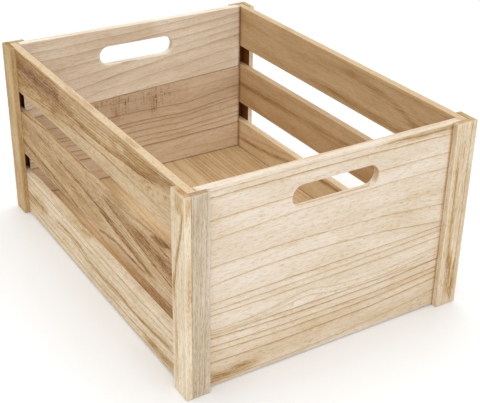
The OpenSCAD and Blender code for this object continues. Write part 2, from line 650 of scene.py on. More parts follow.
PORES = Pattern(0.2, 1.15)
HAIRS = Pattern(0.05, 1.1, shift=5.0, detail=3.0)
CLOUDS = Pattern(0.014, 0.06, shift=9.0, detail=3.0, roughness=0.55)
FLECKS = Pattern(0.28, 0.9, shift=13.0)
BRUSHING = Pattern(0.08, 0.9, shift=21.0)
SAW_TICKS = Pattern(0.5, 0.04)
SAW_BREAKS = Pattern(0.25, 0.4, shift=3.0)
SHIFT_PER_SEED = 37.0
# Pattern values at which an effect starts and is full
CLOUD_SPAN = (0.36, 0.66)
STROKE_SPAN = (0.5, 0.68)
BROWN_SPAN = (0.36, 0.6)
BARED_SPAN = (0.52, 0.68)
PORE_SPAN = (0.5, 0.7)
FLECK_SPAN = (0.54, 0.7)
WORN_SPAN = (0.35, 0.6)
LINE_SPAN = (0.3, 0.55)
TICK_SPAN = (0.45, 0.7)
BREAK_SPAN = (0.4, 0.65)
ROUGH_SPAN = (0.2, 0.8)
# Least and greatest depth of brown marks, worn edges and growth lines
BROWN_AMOUNT = (0.4, 1.25)
WORN_AMOUNT = (0.15, 0.6)
LINE_AMOUNT = (0.6, 1.1)
# Depth of the darker end grain, and of the even tone under saw marks
END_DEPTH = 0.4
SAWN_TONE = 0.22
# How far the pores fray a growth line, mm, and its soft width as a multiple of half its width
LINE_FRAY = 1.2
LINE_BLUR = 1.6
# Heights of growth lines and bared fibres against the depth of a pore, that depth, and how clearly it shows
LINE_RELIEF = 0.5
BARED_RELIEF = 0.6
RELIEF_DEPTH = 0.35 * MM
RELIEF_STRENGTH = 0.5
# How much smoother and rougher than its mean the wood is, and how strongly it shines
SMOOTHER = 0.1
ROUGHER = 0.12
WOOD_SHEEN = 0.3
# Cells per metre of the tarnish on steel, and of the lines that drawing leaves along a wire
TARNISH_CELLS = (900.0, 900.0, 900.0)
DRAWN_CELLS = (250.0, 6000.0, 6000.0)
# Tarnish values at which it starts and is full, and the smoothest and roughest steel
TARNISH_SPAN = (0.45, 0.7)
STEEL_ROUGHNESS = (0.28, 0.5)


@dataclass(frozen=True)
class Timber:
    """Sawn and brushed pale wood. Its growth lines, stains and worn edges come from values on the mesh.

    Attributes:
        pale: Colour of the wood that grows in spring.
        tan: Colour of its duller zones.
        line: Colour of the growth lines.
        stain: Colour of brown streaks and cracks.
        line_mm: Half the width of a growth line.
        halo_mm: Reach of the shading that leads up to a growth line.
        halo: Depth of that shading, 0 to 1.
        mottle: Depth of the soft changes of tone.
        stroke: Depth of the long fibres, pale and dark, that brushing lays bare.
        pore: Depth of the fine pores.
        chatter: Depth of the saw's marks across the grain.
        roughness: Mean roughness of the surface.
    """

    pale: Colour
    tan: Colour
    line: Colour
    stain: Colour
    line_mm: float = 0.5
    halo_mm: float = 3.0
    halo: float = 0.3
    mottle: float = 0.5
    stroke: float = 0.4
    pore: float = 0.4
    chatter: float = 0.0
    roughness: float = 0.62

    def material(self, name: str, seed: int) -> bpy.types.Material:
        """Builds the finish for one board.

        Args:
            name: Name of the material.
            seed: Number that moves the random patterns, so that no two boards match.

        Returns:
            The material.
        """
        material, graph, shader = new_material(name)
        fibre = graph.attribute("fibre", "Vector")
        shift = SHIFT_PER_SEED * seed
        pore, hair, cloud, fleck, brush = (
            pattern.drawn(graph, fibre, shift) for pattern in (PORES, HAIRS, CLOUDS, FLECKS, BRUSHING)
        )
        dark = let_through(self.pale, self.line)
        brownish = let_through(self.pale, self.stain)

        # Tone of the ground, then growth lines, dark fibres and brown marks over it
        tone = graph.math("MULTIPLY", graph.ramp(cloud, *CLOUD_SPAN), self.mottle)
        tone = graph.math("ADD", tone, graph.attribute("tan"))
        wood = graph.mix(graph.math("MINIMUM", tone, 1.0), self.pale, self.tan)
        latewood = self._latewood(graph, pore, hair)
        strokes = graph.math("MULTIPLY", graph.ramp(hair, *STROKE_SPAN), self.stroke)
        wood = graph.stained(wood, graph.math("MAXIMUM", latewood, strokes), dark)
        streaks = graph.ramp(hair, *BROWN_SPAN, *BROWN_AMOUNT)
        brown = graph.math("MINIMUM", graph.math("MULTIPLY", graph.attribute("brown"), streaks), 1.0)
        wood = graph.stained(wood, brown, brownish)

        # Pale fibres laid bare, pores and flecks
        bared = graph.math("MULTIPLY", graph.ramp(brush, *BARED_SPAN), self.stroke)
        bared = graph.math("MAXIMUM", bared, graph.attribute("bare"))
        wood = graph.mix(bared, wood, self.pale)
        pores = graph.math("MULTIPLY", graph.ramp(pore, *PORE_SPAN), self.pore)
        wood = graph.stained(wood, pores, dark)
        flecks = graph.math("MULTIPLY", graph.ramp(fleck, *FLECK_SPAN), self.pore)
        wood = graph.mix(flecks, wood, self.pale)

        # Saw marks, end grain, painted shade and worn edges
        if self.chatter:
            wood = graph.stained(wood, self._saw_marks(graph, fibre), brownish)
        wood = graph.stained(wood, graph.math("MULTIPLY", graph.attribute("end"), END_DEPTH), dark)
        # Painted shade in the corner pockets, the inner corners and beside the front corner strips
        wood = graph.stained(wood, graph.attribute("glue"), brownish)
        worn = graph.math("MULTIPLY", graph.attribute("rim"), graph.ramp(hair, *WORN_SPAN, *WORN_AMOUNT))
        wood = graph.mix(worn, wood, self.pale)

        relief = graph.math("SUBTRACT", graph.math("MULTIPLY", latewood, LINE_RELIEF), pores)
        relief = graph.math("ADD", relief, graph.math("MULTIPLY", bared, BARED_RELIEF))
        relief = graph.math("SUBTRACT", relief, brown)
        bumps = {"Height": relief, "Strength": RELIEF_STRENGTH, "Distance": RELIEF_DEPTH}
        bump = graph.node("ShaderNodeBump", bumps)
        rough = graph.ramp(pore, *ROUGH_SPAN, self.roughness - SMOOTHER, self.roughness + ROUGHER)
        graph.tree.links.new(wood, shader.inputs["Base Color"])
        graph.tree.links.new(bump.outputs[0], shader.inputs["Normal"])
        graph.tree.links.new(rough, shader.inputs["Roughness"])
        shader.inputs["Specular IOR Level"].default_value = WOOD_SHEEN
        return material

    def _latewood(self, graph: Graph, fray: Socket, hair: Socket) -> Socket:
        """Draws a thin dark line where the ring count passes a whole number, and soft shading before it.

        Args:
            graph: Graph of the material.
            fray: Fine noise, which frays the lines.
            hair: Long noise, which makes them come and go.

        Returns:
            0 on plain wood to 1 on a strong line.
        """
        width = graph.attribute("ring_width")
        off = graph.math("MULTIPLY", graph.math("SUBTRACT", fray, 0.5), LINE_FRAY)
        off = graph.math("DIVIDE", off, width)
        share = graph.math("FRACT", graph.math("ADD", graph.attribute("ring"), off))
        after = graph.math("MULTIPLY", share, width)
        before = graph.math("MULTIPLY", graph.math("SUBTRACT", 1.0, share), width)
        core = graph.ramp(graph.math("MINIMUM", after, before), 0.0, self.line_mm * LINE_BLUR, 1.0, 0.0)
        shade = graph.ramp(before, 0.0, self.halo_mm, self.halo, 0.0)
        drawn = graph.math("MAXIMUM", core, shade)
        breaks = graph.ramp(hair, *LINE_SPAN, *LINE_AMOUNT)
        presence = graph.math("MULTIPLY", graph.attribute("line"), breaks)
        return graph.math("MINIMUM", graph.math("MULTIPLY", drawn, presence), 1.0)

    def _saw_marks(self, graph: Graph, fibre: Socket) -> Socket:
        """Draws the short dark marks that a saw leaves across the grain, over a faint even tone.

        Args:
            graph: Graph of the material.
            fibre: Coordinates along the fibres.

        Returns:
            0 on plain wood to the depth of the marks.
        """
        ticks = graph.ramp(SAW_TICKS.drawn(graph, fibre), *TICK_SPAN)
        broken = graph.ramp(SAW_BREAKS.drawn(graph, fibre), *BREAK_SPAN)
        marks = graph.math("ADD", graph.math("MULTIPLY", ticks, broken), SAWN_TONE)
        marks = graph.math("MULTIPLY", marks, graph.attribute("chatter"))
        return graph.math("MULTIPLY", marks, self.chatter)


@dataclass(frozen=True)
class Steel:
    """Bright drawn wire of the brads and pins, slightly dulled.

    Attributes:
        bright: Colour of the clean metal.
        dull: Colour where it has tarnished.
    """

    bright: Colour = paint(196, 192, 184)
    dull: Colour = paint(128, 118, 104)

    def material(self, name: str) -> bpy.types.Material:
        """Builds the finish.

        Args:
            name: Name of the material.

        Returns:
            The material.
        """
        material, graph, shader = new_material(name)
        place = graph.node("ShaderNodeTexCoord").outputs["Object"]
        tarnish = graph.noise(graph.stretched(place, TARNISH_CELLS), 3.0, 0.6)
        drawn = graph.noise(graph.stretched(place, DRAWN_CELLS), 2.0, 0.5)
        colour = graph.mix(graph.ramp(tarnish, *TARNISH_SPAN), self.bright, self.dull)
        graph.tree.links.new(colour, shader.inputs["Base Color"])
        rough = graph.ramp(drawn, *ROUGH_SPAN, *STEEL_ROUGHNESS)
        graph.tree.links.new(rough, shader.inputs["Roughness"])
        bump = graph.node("ShaderNodeBump", {"Height": drawn, "Strength": 0.3, "Distance": 0.02 * MM})
        graph.tree.links.new(bump.outputs[0], shader.inputs["Normal"])
        shader.inputs["Metallic"].default_value = 1.0
        return material


# ---------------------------------------------------------------- boards

# Sizes, in mm, of a board's slow waves, quick waves, dents, and the ragged edges of its marks
SLOW_WAVES = (70.0, 70.0, 70.0)
QUICK_WAVES = (13.0, 13.0, 13.0)
DENTS = (6.0, 6.0, 6.0)
RAGS = (30.0, 3.0, 8.0)
# First random seeds of the same four
SLOW_SEED = 100
QUICK_SEED = 200
DENT_SEED = 300
RAG_SEED = 400
# Dent pattern values at which a dent starts and is full, and its greatest depth
DENT_SPAN = (0.45, 0.9)
DENT_DEPTH = 0.3 * MM
# Height of the ragged edges of marks, mm
RAG_HEIGHT = 0.8
# Width of the worn band along an edge
RIM_WIDTH = 2.2 * MM
# How far a glued face, which painted shade darkens, may lie from the side of the board's box
POCKET_SHADE_REACH = 1.0 * MM
# Rows of points through a hand hole's wall and across a board's edge, with the eased ones
WALL_ROWS = 5
# Wood above the floor's groove that keeps its height while the glue line leans
STILL_WOOD = 10 * MM


def mesh_object(name: str, surface: Surface, values: dict[str, np.ndarray]) -> bpy.types.Object:
    """Puts a surface into a new mesh object.

    Args:
        name: Name of the object.
        surface: Its shape.
        values: Numbers or vectors to store at its points, by attribute name.

    Returns:
        The object, at the origin.
    """
    mesh = bpy.data.meshes.new(name)
    mesh.vertices.add(len(surface.points))
    mesh.vertices.foreach_set("co", surface.points.astype(np.float32).ravel())
    mesh.loops.add(surface.faces.size)
    mesh.loops.foreach_set("vertex_index", surface.faces.astype(np.int32).ravel())
    mesh.polygons.add(len(surface.faces))
    mesh.polygons.foreach_set("loop_start", np.arange(0, surface.faces.size, 4, dtype=np.int32))
    mesh.polygons.foreach_set("use_smooth", np.ones(len(surface.faces), bool))
    mesh.update(calc_edges=True)
    for key, value in values.items():
        kind, part = ("FLOAT_VECTOR", "vector") if value.ndim == 2 else ("FLOAT", "value")
        attribute = mesh.attributes.new(key, kind, "POINT")
        attribute.data.foreach_set(part, value.astype(np.float32).ravel())
    piece = bpy.data.objects.new(name, mesh)
    bpy.context.scene.collection.objects.link(piece)
    return piece


@dataclass
class LeaningJoint:
    """Rise of a glue line from the left end of a panel to the right, worked into a board's shape.

    Attributes:
        rise: How much higher the joint is at the right end, metres.
        half_width: Distance from the panel's middle to its ends, metres.
        still: Height beyond which the board keeps its shape, metres.
        joint: Mean height of the joint, metres.
    """

    rise: float
    half_width: float
    still: float
    joint: float

    def applied(self, points: np.ndarray) -> np.ndarray:
        """Lifts each point by rise * x / width, in full at the joint and fading evenly to the still height.

        Args:
            points: Places in metres, one row each.

        Returns:
            The moved places.
        """
        share = np.clip((points[:, 2] - self.still) / (self.joint - self.still), 0.0, 1.0)
        moved = points.copy()
        moved[:, 2] += share * self.rise * points[:, 0] / (2 * self.half_width)
        return moved


@dataclass
class Board:
    """One sawn board that stands for a CAD node.

    Attributes:
        node: The CAD node.
        slot: The record's material slot; not used.
        grain: Axis that the fibres run along.
        width: Axis across the board's face.
        figure: Growth rings.
        timber: Finish.
        marks: Streaks, cracks and patches.
        seed: Start of the random numbers of its fibres and finish.
        wear_seed: Start of the random numbers of its wear, the same for boards glued edge to edge.
        ease: Reach of the rounded edges, metres.
        butt_ease: Reach of the rounding of faces that meet another board, metres.
        butts: Faces that meet another board.
        glued: Faces that meet another board, darkened with painted shade where they show in the pockets
            between slats.
        skin: Distance from the CAD solid's faces to the board's, metres.
        butt_skin: The same on faces that meet another board.
        wave: Height of the slight waves in the board's faces, metres.
        step: Widest gap between grid lines along the grain and across it, metres.
        laid_from_origin: Whether the figure is laid out from the crate's origin, not the board's middle.
        body: CAD body that the board rides on.
        joint: Glue line whose rise is worked into the board.
        pocket_shade_depth: How dark the painted shade on the glued faces is, 1 for a full stain.
    """

    node: str
    slot: str
    grain: Axis
    width: Axis
    figure: LaidFigure | HeartFigure
    timber: Timber
    marks: tuple[Mark, ...] = ()
    seed: int = 0
    wear_seed: int = 0
    ease: float = 0.8 * MM
    butt_ease: float = 0.03 * MM
    butts: tuple[Face, ...] = ()
    glued: tuple[Face, ...] = ()
    skin: float = 0.04 * MM
    butt_skin: float = 0.005 * MM
    wave: float = 0.12 * MM
    step: tuple[float, float] = (3.0 * MM, 1.6 * MM)
    laid_from_origin: bool = False
    body: str = "root"
    joint: LeaningJoint | None = None
    pocket_shade_depth: float = 1.2

    def __post_init__(self) -> None:
        """Takes the board's corners from the CAD node."""
        low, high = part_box(self.node)
        self.low, self.high = np.array(low), np.array(high)

    @property
    def thickness(self) -> Axis:
        """Axis through the board."""
        return Axis(3 - self.grain.value - self.width.value)

    def surface(self) -> Surface:
        """Makes the board's plain shape: a block of grid cells with its edges rounded.

        A point within the ease of an edge is pulled onto the ellipse whose half-axes are the eases of the
        two faces that meet there, and the same in three directions at a corner.

        Returns:
            The closed surface.
        """
        ease = self._eases()
        stops = self._stops()
        steps = [self.step[0] if Axis(k) is self.grain else self.step[1] for k in range(3)]
        lines = [grid_stops(stops[k], (ease[0][k], ease[1][k]), steps[k]) for k in range(3)]
        solid = self._filled([(line[1:] + line[:-1]) / 2 for line in lines])
        used, faces = np.unique(block_faces(solid), return_inverse=True)
        grid = np.stack(np.meshgrid(*lines, indexing="ij"), axis=-1).reshape(-1, 3)[used]
        core = np.clip(grid, self.low + ease[0], self.high - ease[1])
        reach = (grid - core) / np.where(grid < core, ease[0], ease[1])
        length = np.linalg.norm(reach, axis=1, keepdims=True)
        points = core + (grid - core) * np.minimum(1.0, 1.0 / np.maximum(length, 1e-9))
        return Surface(self._leaned(points), faces.reshape(-1, 4))

    def _leaned(self, points: np.ndarray) -> np.ndarray:
        """Works the glue line's rise into the shape, if the board has one."""
        return self.joint.applied(points) if self.joint else points

    def _eases(self) -> tuple[np.ndarray, np.ndarray]:
        """Sets the rounding of the faces, small where the board butts against another.

        Returns:
            The reach of the rounding of the low faces, and of the high faces, by axis.
        """
        eases = np.full((2, 3), self.ease)
        for axis, side in self.butts:
            eases[max(side, 0), axis.value] = self.butt_ease
        return eases[0], eases[1]

    def _stops(self) -> list[tuple[float, ...]]:
        """Gives, for each axis, the places where the grid must have a line."""
        return [(self.low[k], self.high[k]) for k in range(3)]

    def _filled(self, middles: list[np.ndarray]) -> np.ndarray:
        """Tells which grid cells hold wood: all of them on a plain board."""
        return np.ones([len(middle) for middle in middles], bool)

    def weathered(self, surface: Surface) -> Surface:
        """Draws the faces in a little from the CAD solid, unevenly, as sawing, sanding and handling do.

        Each point moves inwards along its normal by the skin, plus the wave times a slow and a quicker
        noise, plus dents of a few tenths of a millimetre on the edges. Faces that meet another board move
        by a small skin of their own, so that joints stay tight.

        Args:
            surface: The board's plain shape.

        Returns:
            The worn shape.
        """
        place = surface.points / MM
        normals = surface.normals()
        slow = soft_noise(place, SLOW_WAVES, SLOW_SEED + self.wear_seed)
        quick = soft_noise(place, QUICK_WAVES, QUICK_SEED + self.wear_seed)
        dents = soft_step(*DENT_SPAN, soft_noise(place, DENTS, DENT_SEED + self.wear_seed))
        worn = self.skin + self.wave * (0.5 + 0.35 * slow + 0.15 * quick)
        worn += DENT_DEPTH * dents * self._rim(surface.points)
        inset = worn + (self.butt_skin - worn) * facing(normals, self.butts)
        return Surface(surface.points - inset[:, None] * normals, surface.faces)

    def _rim(self, points: np.ndarray) -> np.ndarray:
        """Tells how near each point is to an edge, by its second-shortest distance to a bare face.

        Args:
            points: Places in metres, one row each.

        Returns:
            0 on the faces to 1 on the eased edges.
        """
        covered = [np.where(ease < self.ease, 1.0, 0.0) for ease in self._eases()]
        gaps = np.minimum(points - self.low + covered[0], self.high - points + covered[1])
        return soft_step(-RIM_WIDTH, 0.0, -np.sort(gaps, axis=1)[:, 1])

    def values(self, surface: Surface) -> dict[str, np.ndarray]:
        """Works out what the finish reads at each point.

        Args:
            surface: The board's final shape.

        Returns:
            Values by attribute name.
        """
        middle = np.zeros(3) if self.laid_from_origin else (self.low + self.high) / 2
        middle[self.thickness.value] = (self.low + self.high)[self.thickness.value] / 2
        axes = (self.grain, self.width, self.thickness)
        along, across, depth = ((surface.points - middle)[:, axis.value] / MM for axis in axes)
        rings = self.figure.rings(along, across, depth)
        place = np.stack([along, rings.across, depth], axis=1)
        ragged = across + RAG_HEIGHT * soft_noise(place, RAGS, RAG_SEED + self.seed)
        normals = surface.normals()
        values = {
            "ring": rings.number,
            "ring_width": rings.width,
            "line": rings.strength,
            "fibre": place,
            "rim": self._rim(surface.points),
            "end": soft_step(*END_GRAIN_SPAN, np.abs(normals[:, self.grain.value])),
        }
        turned = normals[:, self.thickness.value]
        for kind in Tint:
            marks = [mark for mark in self.marks if mark.tint is kind]
            values[kind.value] = self._covered(marks, along, ragged, turned)
        # Painted shade on the glued faces, which show only in the dark pockets between the slats at the
        # corners
        glue = self.pocket_shade_depth * self._pocket_shade(surface.points, normals)
        values["glue"] = np.maximum(values["glue"], glue)
        return values

    def _pocket_shade(self, points: np.ndarray, normals: np.ndarray) -> np.ndarray:
        """Finds the glued faces, which lie at the sides of the board's box and take painted shade where
        they show in the pockets.

        Args:
            points: Places in metres, one row each.
            normals: Unit normals, one row each.

        Returns:
            1 on the glued faces and 0 elsewhere.
        """
        cover = np.zeros(len(points))
        for axis, side in self.glued:
            plane = self.high if side > 0 else self.low
            near = np.abs(points[:, axis.value] - plane[axis.value]) < POCKET_SHADE_REACH
            cover = np.maximum(cover, near * facing(normals, ((axis, side),)))
        return cover

    @staticmethod
    def _covered(
        marks: list[Mark], along: np.ndarray, across: np.ndarray, turned: np.ndarray
    ) -> np.ndarray:
        """Adds up marks as layers of thin paint: one minus the product of what each leaves bare.

        Args:
            marks: The marks.
            along: Lengthwise coordinate of each point, mm.
            across: Coordinate across the face, mm.
            turned: Part of each point's normal along the board's thickness.

        Returns:
            0 for none to 1 for full colour.
        """
        bare = np.ones(len(along))
        for mark in marks:
            bare *= 1.0 - np.clip(mark.cover(along, across, turned), 0.0, 1.0)
        return 1.0 - bare

    def build(self) -> bpy.types.Object:
        """Makes the board's object, with its shape, values and finish, in place of the CAD node.

        Returns:
            The object.
        """
        surface = self.weathered(self.surface())
        piece = mesh_object(f"{self.node}_wood", surface, self.values(surface))
        piece.data.materials.append(self.timber.material(f"{self.node}_finish", self.seed))
        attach(piece, self.body)
        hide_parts(self.node)
        LOG.info("%s: %d faces", piece.name, len(surface.faces))
        return piece


@dataclass
class GroovedBoard(Board):
    """Board with a groove along its inner face, which holds the floor's edge.

    Attributes:
        groove: Lowest and highest height of the groove, metres.
        groove_plane: Coordinate of the groove's bottom on the thickness axis, metres.
    """

    groove: tuple[float, float] = (0.0, 0.0)
    groove_plane: float = 0.0

    def _stops(self) -> list[tuple[float, ...]]:
        """Adds grid lines at the groove's two edges and its bottom.

        Returns:
            The places for each axis.
        """
        stops = super()._stops()
        across, through = self.width.value, self.thickness.value
        stops[across] = (self.low[across], *self.groove, self.high[across])
        stops[through] = (self.low[through], self.groove_plane, self.high[through])
        return stops

    def _filled(self, middles: list[np.ndarray]) -> np.ndarray:
        """Leaves out the cells between the groove's edges, from its bottom to the inner face.

        Args:
            middles: Middles of the cells along each axis.

        Returns:
            True for each cell of wood.
        """
        solid = super()._filled(middles)
        across = middles[self.width.value]
        through = middles[self.thickness.value]
        in_band = (across > self.groove[0]) & (across < self.groove[1])
        inner = through < self.groove_plane if self.groove_plane > 0 else through > self.groove_plane
        shape = [1, 1, 1]
        shape[self.width.value] = len(across)
        band = in_band.reshape(shape)
        shape = [1, 1, 1]
        shape[self.thickness.value] = len(through)
        return solid & ~(band & inner.reshape(shape))


@dataclass
class HandHoleBoard(Board):
    """Upper board of an end panel, with the hand hole through it.

    Attributes:
        hole_width: Width of the hole, metres.
        hole_height: Height of the hole, metres.
        hole_drop: Wood left between the hole and the top edge, metres.
        hole_ease: Reach of the rounding of the hole's rims, metres.
        face_rows: Rows of faces between the hole and the board's edge.
    """

    hole_width: float = 90 * MM
    hole_height: float = 21 * MM
    hole_drop: float = 20.5 * MM
    hole_ease: float = 1.1 * MM
    face_rows: int = 36

    @property
    def hole_centre(self) -> float:
        """Height of the hole's middle."""
        return self.high[2] - self.hole_drop - self.hole_height / 2

    def surface(self) -> Surface:
        """Makes the board as one loop of section carried round the hole.

        One parameter runs round the hole and, step for step, round the board's outline. The other runs
        round the section between them: over the front face to the hole, through the hole's wall, back
        over the rear face and round the board's edge. A row of the section is a mixture of the two
        outlines, and each rim is a quarter of an ellipse.

        Returns:
            The closed surface.
        """
        outline, spine, outward = self._loops()
        share, inset, grow, depth = self._section()
        ease_low, ease_high = self._eases()
        outer = np.empty((len(share), len(outline), 2))
        for k, axis in enumerate((0, 2)):
            low = self.low[axis] + ease_low[axis] * inset
            high = self.high[axis] - ease_high[axis] * inset
            outer[:, :, k] = np.clip(outline[None, :, k], low[:, None], high[:, None])
        radius = self.hole_height / 2 + self.hole_ease * grow
        inner = spine[None] + outward[None] * radius[:, None, None]
        place = outer + (inner - outer) * share[:, None, None]
        rows, columns = place.shape[:2]
        through = np.broadcast_to(depth[:, None], (rows, columns))
        points = np.stack([place[:, :, 0], through, place[:, :, 1]], axis=2)
        return Surface(self._leaned(points.reshape(-1, 3)), loop_faces(rows, columns))

    def _loops(self) -> tuple[np.ndarray, np.ndarray, np.ndarray]:
        """Walks round the board's outline and the hole together, a quarter at a time.

        In each quarter both walks start beside the hole and end above or below its middle, each at its own
        even pace. The hole's walk is a quarter of a circle and then a straight.

        Returns:
            Points of the outline, points of the line that the hole's outline stays one radius from, and
            the direction from that line to the hole's outline. Each row is a point in X and Z.
        """
        half_width = (self.high[0] - self.low[0]) / 2
        straight = (self.hole_width - self.hole_height) / 2
        arc = np.pi / 2 * self.hole_height / 2
        loops = []
        for up, height in ((1, self.high[2] - self.hole_centre), (-1, self.hole_centre - self.low[2])):
            legs = [max(2, round(leg / self.step[0])) for leg in (height, half_width)]
            length = np.concatenate([
                np.linspace(0, height, legs[0], endpoint=False),
                np.linspace(height, height + half_width, legs[1] + 1),
            ])
            side = half_width - np.maximum(length - height, 0)
            outline = np.stack([side, up * np.minimum(length, height)], axis=1)
            walked = length / length[-1] * (arc + straight)
            angle = np.minimum(walked / arc, 1.0) * np.pi / 2
            spine = np.stack([straight - np.maximum(walked - arc, 0), np.zeros_like(walked)], axis=1)
            outward = np.stack([np.cos(angle), up * np.sin(angle)], axis=1)
            loops.append(np.stack([outline, spine, outward]))
        upper, lower = loops
        mirror = np.array([-1.0, 1.0])
        whole = np.concatenate(
            [upper, upper[:, -2::-1] * mirror, lower[:, 1:] * mirror, lower[:, -2:0:-1]], axis=1
        )
        centre = np.array([(self.low[0] + self.high[0]) / 2, self.hole_centre])
        return whole[0] + centre, whole[1] + centre, whole[2]

    def _section(self) -> tuple[np.ndarray, np.ndarray, np.ndarray, np.ndarray]:
        """Lists the rows of the section, in order round it.

        Returns:
            For each row, its share of the way from the outline to the hole, how far the outline is drawn
            in and the hole widened as shares of their eases, and its place through the board.
        """
        front, back = self.low[1], self.high[1]
        turn = np.linspace(0.0, np.pi / 2, ARC_PARTS + 1)
        drawn, sunk = 1.0 - np.sin(turn), 1.0 - np.cos(turn)
        across = np.linspace(0.0, 1.0, self.face_rows + 1)
        flat = np.ones_like(across)
        bore = np.linspace(front + self.hole_ease, back - self.hole_ease, WALL_ROWS)[1:-1]
        edge = np.linspace(back - self.ease, front + self.ease, WALL_ROWS)[1:-1]
        rows = [
            (across, flat, flat, flat * front),
            (1.0, 1.0, drawn[1:], front + self.hole_ease * sunk[1:]),
            (1.0, 1.0, 0.0, bore),
            (1.0, 1.0, drawn[::-1], back - self.hole_ease * sunk[::-1]),
            (across[-2::-1], flat[1:], flat[1:], flat[1:] * back),
            (0.0, drawn[1:], 1.0, back - self.ease * sunk[1:]),
            (0.0, 0.0, 1.0, edge),
            (0.0, drawn[:0:-1], 1.0, front + self.ease * sunk[:0:-1]),
        ]
        return tuple(
            np.concatenate([np.broadcast_to(row[k], np.shape(row[3])) for row in rows]) for k in range(4)
        )

    def _rim(self, points: np.ndarray) -> np.ndarray:
        """Adds the rims of the hand hole to the worn edges.

        Args:
            points: Places in metres, one row each.

        Returns:
            0 on the faces to 1 on the eased edges and rims.
        """
        reach = (self.hole_width - self.hole_height) / 2
        side = np.maximum(np.abs(points[:, 0]) - reach, 0.0)
        off_hole = np.abs(np.hypot(side, points[:, 2] - self.hole_centre) - self.hole_height / 2)
        off_face = np.minimum(points[:, 1] - self.low[1], self.high[1] - points[:, 1])
        hole_rim = soft_step(-RIM_WIDTH, 0.0, -np.maximum(off_hole, off_face))
        return np.maximum(super()._rim(points), hole_rim)


# ---------------------------------------------------------------- timbers and figures of this crate
#
# Places on the boards are in mm from the crate's origin. On a panel they are X and the height above the
# ground, on a slat Y and the height, on a floor board Y and X, and on a corner strip the height and then
# Y or X. Growth lines go from the lowest to the highest.

# Front panel: pale, with fine pores
PANEL_TIMBER = Timber(
    pale=paint(231, 218, 202),
    tan=paint(214, 193, 163),
    line=paint(176, 138, 88),
    stain=paint(146, 104, 54),
    stroke=0.14,
    pore=0.26,
)
# Back panel's upper board: cream, with broad shading before each line
WARM_TIMBER = Timber(
    pale=paint(243, 233, 216),
    tan=paint(224, 205, 180),
    line=paint(178, 146, 112),
    stain=paint(104, 68, 42),
    halo_mm=6.0,
    halo=0.4,
    stroke=0.16,
    pore=0.18,
)
# Back panel's lower board: rosy, with saw marks
PINK_TIMBER = Timber(
    pale=paint(232, 214, 190),
    tan=paint(212, 188, 160),
    line=paint(162, 126, 92),
    stain=paint(110, 76, 50),
    halo=0.4,
    stroke=0.18,
    pore=0.18,
    chatter=0.7,
)
# Right middle and top slats: even gold
GOLD_TIMBER = Timber(
    pale=paint(207, 179, 139),
    tan=paint(187, 153, 110),
    line=paint(154, 112, 64),
    stain=paint(104, 66, 28),
    halo_mm=4.0,
    halo=0.25,
    stroke=0.15,
    pore=0.2,
)
# Right bottom slat: paler gold
HONEY_TIMBER = Timber(
    pale=paint(240, 221, 188),
    tan=paint(226, 200, 160),
    line=paint(174, 134, 86),
    stain=paint(104, 66, 28),
    halo_mm=4.0,
    halo=0.25,
    stroke=0.15,
    pore=0.2,
)
# Left top slat: strong brushed strokes
FLAMED_TIMBER = Timber(
    pale=paint(214, 190, 156),
    tan=paint(182, 148, 103),
    line=paint(152, 108, 48),
    stain=paint(148, 102, 38),
    stroke=0.3,
    pore=0.3,
    line_mm=0.45,
    halo_mm=2.0,
)
# Left middle slat: stronger strokes still, on rosier wood
RUSSET_TIMBER = Timber(
    pale=paint(211, 186, 155),
    tan=paint(182, 148, 105),
    line=paint(140, 96, 40),
    stain=paint(136, 90, 30),
    stroke=0.35,
    pore=0.32,
    line_mm=0.45,
    halo_mm=2.0,
)
# Left bottom slat: silvery, with thin golden streaks
SILVER_TIMBER = Timber(
    pale=paint(232, 216, 190),
    tan=paint(208, 182, 144),
    line=paint(152, 112, 60),
    stain=paint(128, 84, 30),
    stroke=0.25,
    pore=0.26,
)
# Corner strips: light, cream, grey and amber
STRIP_TIMBER = Timber(
    pale=paint(230, 215, 192),
    tan=paint(208, 185, 152),
    line=paint(162, 122, 70),
    stain=paint(134, 88, 34),
    mottle=0.8,
    stroke=0.3,
    pore=0.28,
)
BONE_TIMBER = Timber(
    pale=paint(240, 227, 206),
    tan=paint(222, 202, 172),
    line=paint(172, 132, 80),
    stain=paint(140, 94, 38),
    mottle=0.8,
    stroke=0.25,
    pore=0.28,
)
ASHEN_TIMBER = Timber(
    pale=paint(216, 203, 184),
    tan=paint(194, 176, 150),
    line=paint(146, 114, 76),
    stain=paint(130, 90, 44),
    mottle=0.7,
    stroke=0.3,
    pore=0.28,
)
AMBER_TIMBER = Timber(
    pale=paint(206, 178, 134),
    tan=paint(182, 147, 98),
    line=paint(142, 100, 48),
    stain=paint(112, 70, 26),
    mottle=0.8,
    stroke=0.3,
    pore=0.28,
)
# Floor: light gold
FLOOR_TIMBER = Timber(
    pale=paint(227, 202, 163),
    tan=paint(208, 177, 134),
    line=paint(172, 132, 82),
    stain=paint(100, 62, 24),
    stroke=0.16,
    pore=0.22,
    mottle=0.8,
)

